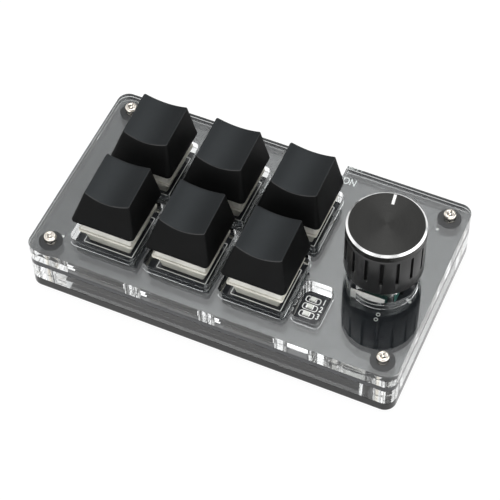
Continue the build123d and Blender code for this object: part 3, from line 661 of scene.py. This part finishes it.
# Power switch
# A low slide switch in a folded steel case, soldered to the board in the notch of the back edge.
# Its black lever stands out to the edge of the case.
lever_nylon = moulded("lever_nylon", (0.02, 0.02, 0.02), grain=3200.0, depth=0.4, smooth=0.45, rough=0.6)
power_case_edge = 0.06 * mm
power_lever_edge = 0.1 * mm
power_case = softened("power_case", "power_switch_case", power_case_edge, tinned_steel)
stands_for(power_case, "power_switch_case")
power_lever = softened("power_lever", "power_switch_slider", power_lever_edge, lever_nylon)
stands_for(power_lever, "power_switch_slider")

# Key switches
# Each has a pale lower housing with a flange, a cloudy upper housing, two brass blades, a red slider
# with a cross on top, and a coil spring. The housings are moulded and snap together.
switch_pale = moulded("switch_pale", (0.76, 0.74, 0.66), grain=2800.0, depth=0.3, smooth=0.42, rough=0.58)
switch_cloudy = moulded(
    "switch_cloudy", (0.66, 0.65, 0.6), grain=2800.0, depth=0.25, smooth=0.3, rough=0.45
)
slider_red = moulded("slider_red", (0.35, 0.03, 0.025), grain=2600.0, depth=0.2, smooth=0.25, rough=0.38)
blade_brass = polish("blade_brass", (0.78, 0.58, 0.28), depth=0.4, smooth=0.18, rough=0.32, Metallic=1.0)
spring_steel = polish("spring_steel", (0.66, 0.66, 0.67), depth=0.2, smooth=0.15, rough=0.25, Metallic=1.0)
dress(blade_brass, "switch_contacts")

# A wire wound in a helix
wire_sizes = {"Turns": "Float", "Coil Radius": "Float", "Wire Radius": "Float", "Length": "Float"}
wound_wire = geometry_tree("wound_wire", {**wire_sizes, "Foot": "Vector"})
given = place(wound_wire, "NodeGroupInput").outputs
helix = place(
    wound_wire,
    "GeometryNodeCurveSpiral",
    {
        "Resolution": 20,
        "Rotations": given["Turns"],
        "Start Radius": given["Coil Radius"],
        "End Radius": given["Coil Radius"],
        "Height": given["Length"],
    },
)
section = place(
    wound_wire, "GeometryNodeCurvePrimitiveCircle", {"Resolution": 8, "Radius": given["Wire Radius"]}
)
wire = place(
    wound_wire,
    "GeometryNodeCurveToMesh",
    {"Curve": helix.outputs["Curve"], "Profile Curve": section.outputs["Curve"], "Fill Caps": True},
)
seated = place(
    wound_wire, "GeometryNodeTransform", {"Geometry": wire.outputs["Mesh"], "Translation": given["Foot"]}
)
end_tree(wound_wire, seated.outputs["Geometry"], given["Material"])


def wind(name, material, turns, radius, wire_radius, length, foot):
    """A helix of wire that stands on a point."""
    piece = bpy.data.objects.new(name, bpy.data.meshes.new(name))
    bpy.context.scene.collection.objects.link(piece)
    sizes = {"Turns": turns, "Coil Radius": radius, "Wire Radius": wire_radius, "Length": length}
    run_tree(piece, wound_wire, {**sizes, "Foot": foot, "Material": material})
    piece.data.shade_smooth()
    return piece


housing_lower_edge = 0.12 * mm
housing_upper_edge = 0.15 * mm
slider_edge = 0.06 * mm
spring_turns = 9.5
spring_radius = 1.95 * mm
spring_wire = 0.18 * mm
for number, middle in enumerate(key_middles, start=1):
    lower = softened(f"housing_lower_{number}", f"switch_base_{number}", housing_lower_edge, switch_pale)
    stands_for(lower, f"switch_base_{number}")
    upper = softened(f"housing_upper_{number}", f"switch_top_{number}", housing_upper_edge, switch_cloudy)
    stands_for(upper, f"switch_top_{number}")
    slider = softened(f"slider_{number}", f"switch_stem_{number}", slider_edge, slider_red)
    stands_for(slider, f"switch_stem_{number}")
    low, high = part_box(f"switch_spring_{number}")
    spring_length = high.z - low.z - 2 * spring_wire
    spring_foot = (middle.x, middle.y, low.z + spring_wire)
    spring = wind(
        f"coil_spring_{number}",
        spring_steel,
        spring_turns,
        spring_radius,
        spring_wire,
        spring_length,
        spring_foot,
    )
    stands_for(spring, f"switch_spring_{number}")
    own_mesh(spring)

# Key caps
# Six hollow caps moulded in fine-grained black plastic and pushed onto the crosses of the sliders.
# The walls lean in, the top leans back and is dished from side to side, and every edge is rounded.
cap_grain = 3600.0
# Painted light: one black plastic in three tones by facing, a lighter top, sides in painted shade and a
# painted highlight on the rounded edges.
cap_lit_top = moulded(
    "cap_lit_top",
    (0.0062, 0.0065, 0.007),
    grain=cap_grain,
    depth=0.3,
    smooth=0.4,
    rough=0.48,
    **{"Specular IOR Level": 0.3, "Specular Tint": (0.86, 0.95, 1.0, 1.0)},
)
cap_shaded_side = moulded(
    "cap_shaded_side",
    (0.0036, 0.0038, 0.0039),
    grain=cap_grain,
    depth=0.3,
    smooth=0.5,
    rough=0.6,
    **{"Specular IOR Level": 0.1},
)
cap_edge_highlight = moulded(
    "cap_edge_highlight", (0.016, 0.0165, 0.017), grain=cap_grain, depth=0.2, smooth=0.34, rough=0.42
)
cap_low, cap_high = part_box("keycap_1")
cap_width = cap_high.x - cap_low.x
cap_rim_radius = 1.3 * mm
cap_top_width = 12.7 * mm
cap_top_front = -4.5 * mm
cap_top_back = 8.6 * mm
cap_top_radius = 0.5 * mm
cap_front_height = 8.2 * mm
cap_back_height = 9.2 * mm
cap_dish = 1.1 * mm
cap_fillet = 0.22 * mm
cap_wall = 1.2 * mm
cap_hollow_radius = 0.6 * mm
cap_rim_round = 0.12 * mm
cap_ceiling = 5.6 * mm
cap_corner_steps = 6
cap_side_steps = 12
dish_radius = cap_top_width ** 2 / (8 * cap_dish) + cap_dish / 2


def cap_plane(y):
    """Height of the leaning top above the rim, before it is dished."""
    lean = (y - cap_top_front) / (cap_top_back - cap_top_front)
    return cap_front_height + lean * (cap_back_height - cap_front_height)


def cap_top(x, y):
    """Height of the dished, leaning top above the rim."""
    sag = math.sqrt(dish_radius ** 2 - min(abs(x), dish_radius) ** 2) - (dish_radius - cap_dish)
    return cap_plane(y) - max(0.0, sag)


def cap_shell():
    """A hollow key cap, its rim at height zero and its middle at the origin."""
    shape = bmesh.new()
    top_middle = (cap_top_front + cap_top_back) / 2
    steps = (cap_corner_steps, cap_side_steps)
    foot = rounded(cap_width, cap_width, cap_rim_radius, *steps)
    head = rounded(cap_top_width, cap_top_back - cap_top_front, cap_top_radius, *steps, top_middle)
    walls = []
    for (x0, y0), (x1, y1) in zip(foot, head):
        full = cap_plane(y1)
        share = 1.0
        for _ in range(20):
            share = cap_top(x0 + share * (x1 - x0), y0 + share * (y1 - y0)) / full
        start = Vector((x0, y0, 0))
        edge = start + share * Vector((x1 - x0, y1 - y0, full))
        inward = Vector((-edge.x, top_middle - edge.y, 0)).normalized() * cap_fillet
        inner = edge + inward
        inner.z = cap_top(inner.x, inner.y)
        walls.append((start, edge, inner))
    rings = []
    for share in (0.015, 0.1, 0.3, 0.5, 0.7, 0.85):
        rings.append([start.lerp(edge, share) for start, edge, inner in walls])
    for step in range(5):
        share = step / 4
        ring = []
        for start, edge, inner in walls:
            below = edge + (start - edge).normalized() * cap_fillet
            ring.append((1 - share) ** 2 * below + 2 * share * (1 - share) * edge + share ** 2 * inner)
        rings.append(ring)
    for share in (0.85, 0.7, 0.55, 0.4, 0.25, 0.1):
        ring = []
        for start, edge, inner in walls:
            x = inner.x * share
            y = top_middle + (inner.y - top_middle) * share
            ring.append(Vector((x, y, cap_top(x, y))))
        rings.append(ring)
    inside = []
    hollow_width = cap_width - 2 * cap_wall
    hollow_foot = rounded(hollow_width, hollow_width, cap_hollow_radius, *steps)
    ceiling_share = cap_ceiling / cap_front_height
    for share, height in ((0.0, 0.0), (1.0, cap_ceiling)):
        ring = []
        for (x0, y0), (x1, y1) in zip(hollow_foot, head):
            x = x0 + share * ceiling_share * (x1 - x0)
            y = y0 + share * ceiling_share * (y1 - y0)
            ring.append(Vector((x, y, height)))
        inside.append(ring)
    rim = [start - start.normalized() * cap_rim_round for start, edge, inner in walls]
    loops = []
    for ring in [inside[1], inside[0], rim] + rings:
        loops.append([shape.verts.new(point) for point in ring])
    for one, two in zip(loops, loops[1:]):
        for step in range(len(one)):
            after = (step + 1) % len(one)
            shape.faces.new((one[step], one[after], two[after], two[step]))
    shape.faces.new(loops[0])
    shape.faces.new(loops[-1])
    return shape


for number, middle in enumerate(key_middles, start=1):
    cap_shape = cap_shell()
    seat = Vector((middle.x, middle.y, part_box(f"keycap_{number}")[0].z))
    bmesh.ops.translate(cap_shape, verts=cap_shape.verts, vec=seat)
    cap = as_piece(f"cap_{number}", cap_shape, cap_shaded_side, cap_lit_top, cap_edge_highlight, sharp=60)
    # Each face takes the lit top, the painted edge highlight or the painted shade of the sides, by how far
    # it faces up.
    for face in cap.data.polygons:
        if face.normal.z > 0.9:
            face.material_index = 1
        elif face.normal.z > 0.52:
            face.material_index = 2
    stands_for(cap, f"keycap_{number}")

# Dial encoder
# A moulded teal body under a folded steel cover, with a die-cast bushing and shaft up its middle.
# The cover has an apron in front, and two steel legs and a row of pins hold the body in the board.
encoder_teal = moulded("encoder_teal", (0.03, 0.11, 0.095), grain=2800.0, depth=0.3, smooth=0.4, rough=0.55)
plunger_white = moulded("plunger_white", (0.72, 0.72, 0.7), grain=2800.0, depth=0.2, smooth=0.4, rough=0.55)
apron_steel = polish("apron_steel", (0.78, 0.77, 0.74), depth=0.5, smooth=0.4, rough=0.55, Metallic=0.6)
cast_alloy = polish("cast_alloy", (0.68, 0.68, 0.68), depth=0.8, smooth=0.22, rough=0.4, Metallic=1.0)
encoder_body_edge = 0.15 * mm
encoder_cover_edge = 0.12 * mm
encoder_body = softened("encoder_body", "encoder_base", encoder_body_edge, encoder_teal)
stands_for(encoder_body, "encoder_base")
encoder_cover = softened("encoder_cover", "encoder_bracket", encoder_cover_edge, tinned_steel)
stands_for(encoder_cover, "encoder_bracket")
body_low, body_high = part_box("encoder_base")
apron_left = dial_x - 5.6 * mm
apron_right = dial_x + 3.6 * mm
apron_front = body_low.y - 0.3 * mm
apron_back = body_low.y - 0.02 * mm
apron_foot = body_low.z + 0.6 * mm
apron_top = body_high.z - 0.1 * mm
apron_edge = 0.06 * mm
apron_shape = bmesh.new()
bmesh.ops.create_cube(apron_shape, size=1.0)
for vert in apron_shape.verts:
    vert.co.x = apron_right if vert.co.x > 0 else apron_left
    vert.co.y = apron_back if vert.co.y > 0 else apron_front
    vert.co.z = apron_top if vert.co.z > 0 else apron_foot
bmesh.ops.bevel(apron_shape, geom=apron_shape.edges[:], offset=apron_edge, segments=1, affect="EDGES")
apron = as_piece("encoder_apron", apron_shape, apron_steel)
on_case(apron)
dress(plunger_white, "encoder_plunger")
dress(blade_brass, "encoder_pins")
dress(spring_steel, "encoder_dome")
dress(cast_alloy, "encoder_bushing", "encoder_shaft")

# Knob
# A fluted grip moulded in black plastic, with a turned aluminium disc pressed into its top.
# The disc is spun, anodised black and bright-cut round its rim, and a white line is painted on it.
knob_black = moulded(
    "knob_black", (0.009, 0.009, 0.0092), grain=2400.0, depth=0.12, smooth=0.28, rough=0.36
)
grip_edge = 0.08 * mm
grip = softened("knob_grip", "knob_skirt", grip_edge, knob_black)
stands_for(grip, "knob_skirt")

# Rings left by a turning tool round the axis of the dial
spun_rings = surface_group("spun_rings", ("Ring Pitch", "Ring Depth", "Roughness Low", "Roughness High"))
given = place(spun_rings, "NodeGroupInput").outputs
spot = place(spun_rings, "ShaderNodeTexCoord").outputs["Object"]
centred = place(
    spun_rings, "ShaderNodeVectorMath", {0: spot, 1: (dial_x, dial_y, 0.0)}, operation="SUBTRACT"
).outputs["Vector"]
flat_spot = place(
    spun_rings, "ShaderNodeVectorMath", {0: centred, 1: (1.0, 1.0, 0.0)}, operation="MULTIPLY"
).outputs["Vector"]
off_axis = place(spun_rings, "ShaderNodeVectorMath", {0: flat_spot}, operation="LENGTH").outputs["Value"]
rings = place(
    spun_rings, "ShaderNodeMath", {0: off_axis, 1: given["Ring Pitch"]}, operation="DIVIDE"
).outputs["Value"]
ring_noise = place(
    spun_rings, "ShaderNodeTexNoise", {"W": rings, "Scale": 1.0, "Detail": 2.0}, noise_dimensions="1D"
).outputs["Fac"]
tone = spread_range(spun_rings, ring_noise, 0.8, 1.2)
shade = place(spun_rings, "ShaderNodeHueSaturation", {"Color": given["Colour"], "Value": tone})
gloss = spread_range(spun_rings, ring_noise, given["Roughness Low"], given["Roughness High"])
relief = place(
    spun_rings,
    "ShaderNodeBump",
    {"Height": ring_noise, "Strength": given["Ring Depth"], "Distance": 0.02 * mm},
)
place(
    spun_rings,
    "NodeGroupOutput",
    {"Colour": shade.outputs["Color"], "Roughness": gloss, "Normal": relief.outputs["Normal"]},
)


def spun(name, colour, pitch, depth, smooth, rough, **shader_values):
    """A metal face turned on a lathe. Its roughness runs from smooth to rough."""
    marks = {"Ring Pitch": pitch, "Ring Depth": depth, "Roughness Low": smooth, "Roughness High": rough}
    material = surface(name, spun_rings, colour, marks, {"Metallic": 1.0, **shader_values})
    shader = material.node_tree.nodes["Principled BSDF"]
    round_axis = place(material.node_tree, "ShaderNodeTangent", direction_type="RADIAL", axis="Z")
    material.node_tree.links.new(round_axis.outputs["Tangent"], shader.inputs["Tangent"])
    return material


disc_black = spun(
    "disc_black",
    (0.034, 0.034, 0.033),
    pitch=0.12 * mm,
    depth=1.0,
    smooth=0.18,
    rough=0.26,
    **{"Anisotropic": 0.9, "Anisotropic Rotation": 0.25},
)
disc_bright = spun("disc_bright", (0.86, 0.86, 0.86), pitch=0.1 * mm, depth=0.1, smooth=0.12, rough=0.2)
disc_radius = (dial_high.x - dial_low.x) / 2
disc_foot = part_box("knob_skirt")[1].z
pointer_height = 0.02 * mm
disc_top = dial_high.z - pointer_height
rim_cut = 0.55 * mm
spigot_radius = 6.0 * mm
disc_profile = [
    (0, dial_low.z),
    (spigot_radius, dial_low.z),
    (spigot_radius, disc_foot),
    (disc_radius, disc_foot),
    (disc_radius, disc_top - rim_cut),
    (disc_radius - rim_cut, disc_top),
    (0, disc_top),
]
disc_shape = turned(disc_profile, steps=160)
bmesh.ops.translate(disc_shape, verts=disc_shape.verts, vec=(dial_x, dial_y, 0))
disc = as_piece("knob_disc", disc_shape, disc_black, disc_bright, sharp=25)
for face in disc.data.polygons:
    if 0.5 < abs(face.normal.z) < 0.9 and face.center.z > disc_foot:
        face.material_index = 1
stands_for(disc, "knob_cap")

pointer_paint = moulded("pointer_paint", (0.86, 0.86, 0.85), grain=3000.0, depth=0.2, smooth=0.4, rough=0.5)
pointer_turn = math.radians(98.0)
pointer_reach = 7.75 * mm
pointer_length = 3.2 * mm
pointer_width = 0.75 * mm
pointer_round = 0.08 * mm
pointer_depth = 0.05 * mm
pointer_shape = bmesh.new()
outline = rounded(pointer_length, pointer_width, pointer_round, corner_steps=3, side_steps=1)
for height in (disc_top - pointer_depth, dial_high.z):
    pointer_shape.faces.new([pointer_shape.verts.new((x + pointer_reach, y, height)) for x, y in outline])
pointer_shape.verts.ensure_lookup_table()
count = len(outline)
for step in range(count):
    after = (step + 1) % count
    lower = (pointer_shape.verts[step], pointer_shape.verts[after])
    upper = (pointer_shape.verts[count + after], pointer_shape.verts[count + step])
    pointer_shape.faces.new(lower + upper)
pointer_place = Matrix.Translation((dial_x, dial_y, 0)) @ Matrix.Rotation(pointer_turn, 4, "Z")
pointer_shape.transform(pointer_place)
pointer = as_piece("pointer_line", pointer_shape, pointer_paint)
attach(pointer, "dial")

# Spacer plate
# A 3 mm sheet of clear acrylic, laser cut with openings for the switches, lights, dial and power switch.
# It lies on the board with a thin film of air between them, and its cut walls are polished.
spacer = softened("clear_spacer", "spacer_plate", plate_edge, clear_acrylic, lift=air_film)
stands_for(spacer, "spacer_plate")

# Top plate
# A 2 mm sheet of clear acrylic cut like the spacer and laid on it, so the light is mirrored twice.
# The screws press the two together, and round each screw no air is left between them to mirror the light; a
# flat dark ring of painted shade under the cover stands in for that missing reflection.
cover_edge = 0.2 * mm
cover = softened("clear_cover", "top_plate", cover_edge, clear_acrylic, lift=air_film)
stands_for(cover, "top_plate")

screw_low, screw_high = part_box("case_screws")
screw_head = 3.4 * mm
screw_pitch_x = screw_high.x - screw_low.x - screw_head
screw_pitch_y = screw_high.y - screw_low.y - screw_head
# Painted shade: a flat dark ring without gloss under the cover round each screw, where the light is not
# mirrored.
painted_contact_shade = moulded(
    "painted_contact_shade",
    (0.025, 0.026, 0.028),
    grain=3000.0,
    depth=0.0,
    smooth=0.8,
    rough=0.95,
    **{"Specular IOR Level": 0.0},
)
pressed_size = 6.4 * mm
pressed_hole = 2.5 * mm
pressed_steps = 10
pressed_outer = rounded(pressed_size, pressed_size, pressed_size / 2, pressed_steps, side_steps=1)
pressed_inner = rounded(pressed_hole, pressed_hole, pressed_hole / 2, pressed_steps, side_steps=1)
pressed_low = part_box("top_plate")[0].z + 2 * air_film
painted_shade_rings = as_piece(
    "painted_shade_rings", band(pressed_outer, pressed_inner, pressed_low, pressed_low + ink_thickness)
)
spread(painted_shade_rings, painted_contact_shade, 2, 2, screw_pitch_x, screw_pitch_y, (0, 0, 0))
on_case(painted_shade_rings)

# Case screws
# Four pan-head steel screws with a cross recess, through every layer into the nuts.
# They are cold formed with a rolled thread and plated with zinc.
screw_shape = bmesh.new()
screw_shape.from_mesh(solids["case_screws"].data)
bmesh.ops.remove_doubles(screw_shape, verts=screw_shape.verts, dist=merge_distance)
others = [vert for vert in screw_shape.verts if vert.co.x < 0 or vert.co.y < 0]
bmesh.ops.delete(screw_shape, geom=others, context="VERTS")
bmesh.ops.translate(screw_shape, verts=screw_shape.verts, vec=(-screw_pitch_x / 2, -screw_pitch_y / 2, 0))
screws = as_piece("pan_screws", screw_shape)
spread(screws, screw_steel, 2, 2, screw_pitch_x, screw_pitch_y, (0, 0, 0))
stands_for(screws, "case_screws")
thread_pitch = 0.4 * mm
thread_radius = 0.93 * mm
thread_crest = 0.13 * mm
thread_foot = screw_low.z + 0.3 * mm
thread_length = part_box("top_plate")[1].z - thread_foot - 0.4 * mm
threads = wind(
    "screw_threads",
    screw_steel,
    thread_length / thread_pitch,
    thread_radius,
    thread_crest,
    thread_length,
    (0, 0, thread_foot),
)
spread(threads, screw_steel, 2, 2, screw_pitch_x, screw_pitch_y, (0, 0, 0))
on_case(threads)

# Floor
# A plain white table top under the object, bright to the eye and in reflections.
# It keeps a soft shadow where the object stands.
floor_size = 3.0
floor_gap = 0.02 * mm
floor_shape = bmesh.new()
bmesh.ops.create_grid(floor_shape, x_segments=1, y_segments=1, size=floor_size)
bmesh.ops.translate(floor_shape, verts=floor_shape.verts, vec=(0, 0, -floor_gap))
floor_white = bpy.data.materials.new("floor_white")
floor_white.use_nodes = True
floor_tree = floor_white.node_tree
floor_tree.nodes.clear()
seen = place(floor_tree, "ShaderNodeLightPath").outputs
seen_or_mirrored = place(
    floor_tree, "ShaderNodeMath", {0: seen["Is Camera Ray"], 1: seen["Is Glossy Ray"]}, operation="MAXIMUM"
).outputs["Value"]
seen_through = place(
    floor_tree, "ShaderNodeMath", {0: seen["Is Transmission Ray"], 1: 0.4}, operation="MULTIPLY"
).outputs["Value"]
seen_at_all = place(
    floor_tree, "ShaderNodeMath", {0: seen_or_mirrored, 1: seen_through}, operation="MAXIMUM"
).outputs["Value"]
glow_share = place(
    floor_tree, "ShaderNodeMath", {0: seen_at_all, 1: 0.9}, operation="MULTIPLY"
).outputs["Value"]
white_glow = 1.04
matt = place(floor_tree, "ShaderNodeBsdfDiffuse", {"Color": (0.95, 0.95, 0.95, 1.0)})
glow = place(floor_tree, "ShaderNodeEmission", {"Color": (1.0, 1.0, 1.0, 1.0), "Strength": white_glow})
mixed = place(
    floor_tree,
    "ShaderNodeMixShader",
    {0: glow_share, 1: matt.outputs["BSDF"], 2: glow.outputs["Emission"]},
)
place(floor_tree, "ShaderNodeOutputMaterial", {"Surface": mixed.outputs["Shader"]})
floor = as_piece("floor", floor_shape, floor_white)
floor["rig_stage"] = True

# Light
# A studio with a soft box behind and above the object, where the clear cover mirrors it to the camera, and
# with bright walls, a bright strip along the ceiling, a dark patch above the camera and a white backdrop.
world = bpy.data.worlds.new("studio")
bpy.context.scene.world = world
world.use_nodes = True
sky = world.node_tree
sky.nodes.clear()


def sky_range(value, start, stop, low, high):
    """Runs smoothly from low to high while a value of the sky goes from start to stop."""
    limits = {"Value": value, "From Min": start, "From Max": stop, "To Min": low, "To Max": high}
    return place(sky, "ShaderNodeMapRange", limits, interpolation_type="SMOOTHSTEP").outputs["Result"]


direction = place(sky, "ShaderNodeTexCoord").outputs["Generated"]
facing = place(sky, "ShaderNodeSeparateXYZ", {"Vector": direction}).outputs
overhead = sky_range(facing["Z"], 0.05, 0.5, 0.06, 0.85)
behind = sky_range(facing["Y"], 0.0, 0.4, 1.0, 0.3)
ceiling = place(sky, "ShaderNodeMath", {0: overhead, 1: behind}, operation="MULTIPLY").outputs["Value"]
aside = place(sky, "ShaderNodeMath", {0: facing["X"], 1: 0.1}, operation="ADD").outputs["Value"]
aside = place(sky, "ShaderNodeMath", {0: aside}, operation="ABSOLUTE").outputs["Value"]
strip_width = sky_range(aside, 0.12, 0.4, 1.0, 0.0)
strip_height = sky_range(facing["Z"], 0.88, 0.96, 0.0, 3.6)
strip = place(
    sky, "ShaderNodeMath", {0: strip_width, 1: strip_height}, operation="MULTIPLY"
).outputs["Value"]
front_wall = sky_range(facing["Y"], -0.5, -0.85, 0.0, 1.9)
left_wall = sky_range(facing["X"], -0.6, -0.85, 0.0, 1.2)
right_wall = sky_range(facing["X"], 0.55, 0.8, 0.0, 2.0)
lit = ceiling
for wall in (front_wall, left_wall, right_wall, strip):
    lit = place(sky, "ShaderNodeMath", {0: lit, 1: wall}, operation="MAXIMUM").outputs["Value"]
camera_side = (0.0, -0.55, 0.835)
nearness = place(sky, "ShaderNodeVectorMath", {0: direction, 1: camera_side}, operation="DOT_PRODUCT")
unlit = sky_range(nearness.outputs["Value"], 0.88, 0.97, 1.0, 0.1)
strength = place(sky, "ShaderNodeMath", {0: lit, 1: unlit}, operation="MULTIPLY").outputs["Value"]
room = place(sky, "ShaderNodeBackground", {"Color": (1.0, 1.0, 1.0, 1.0), "Strength": strength})
backdrop = place(sky, "ShaderNodeBackground", {"Color": (1.0, 1.0, 1.0, 1.0), "Strength": white_glow})
seen_directly = place(sky, "ShaderNodeLightPath").outputs["Is Camera Ray"]
around = place(
    sky,
    "ShaderNodeMixShader",
    {0: seen_directly, 1: room.outputs["Background"], 2: backdrop.outputs["Background"]},
)
place(sky, "ShaderNodeOutputWorld", {"Surface": around.outputs["Shader"]})

case_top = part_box("top_plate")[1].z
box_direction = Vector((-0.09, 0.445, 0.891))
box_distance = 0.65
box_size = 1.0
box_radiance = 1.6
box_data = bpy.data.lights.new("soft_box", "AREA")
box_data.shape = "SQUARE"
box_data.size = box_size
box_data.energy = math.pi * box_size ** 2 * box_radiance
box_data.use_nodes = True
box_tree = box_data.node_tree
across = place(box_tree, "ShaderNodeNewGeometry").outputs["Parametric"]
across = place(box_tree, "ShaderNodeVectorMath", {0: across, 1: (0.5, 0.5, 0.0)}, operation="SUBTRACT")
across = place(
    box_tree, "ShaderNodeVectorMath", {0: across.outputs["Vector"], 1: (1.0, 1.0, 0.0)}, operation="MULTIPLY"
)
off_middle = place(box_tree, "ShaderNodeVectorMath", {0: across.outputs["Vector"]}, operation="LENGTH")
falloff = place(
    box_tree,
    "ShaderNodeMapRange",
    {"Value": off_middle.outputs["Value"], "From Min": 0.0, "From Max": 0.48, "To Min": 1.0, "To Max": 0.0},
    interpolation_type="SMOOTHSTEP",
)
box_tree.links.new(falloff.outputs["Result"], box_tree.nodes["Emission"].inputs["Strength"])
soft_box = bpy.data.objects.new("soft_box", box_data)
soft_box.location = Vector((0, 0, case_top)) + box_direction * box_distance
soft_box.rotation_euler = box_direction.to_track_quat("Z", "Y").to_euler()
bpy.context.scene.collection.objects.link(soft_box)

# Camera
# The view of the photograph, from the front right and 54 degrees above the desk.
# A long lens keeps the far edges of the case nearly parallel to the near ones.
camera_data = bpy.data.cameras.new("camera")
camera_data.sensor_width = 36.0
camera_data.lens = 127.08
camera = bpy.data.objects.new("camera", camera_data)
camera.location = (117.2 * mm, -248.65 * mm, case_top + 370.55 * mm)
camera.rotation_euler = [math.radians(angle) for angle in (35.816, 0.936, 24.007)]
bpy.context.scene.collection.objects.link(camera)
bpy.context.scene.camera = camera
bpy.context.scene.view_settings.view_transform = "Standard"

low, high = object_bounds()
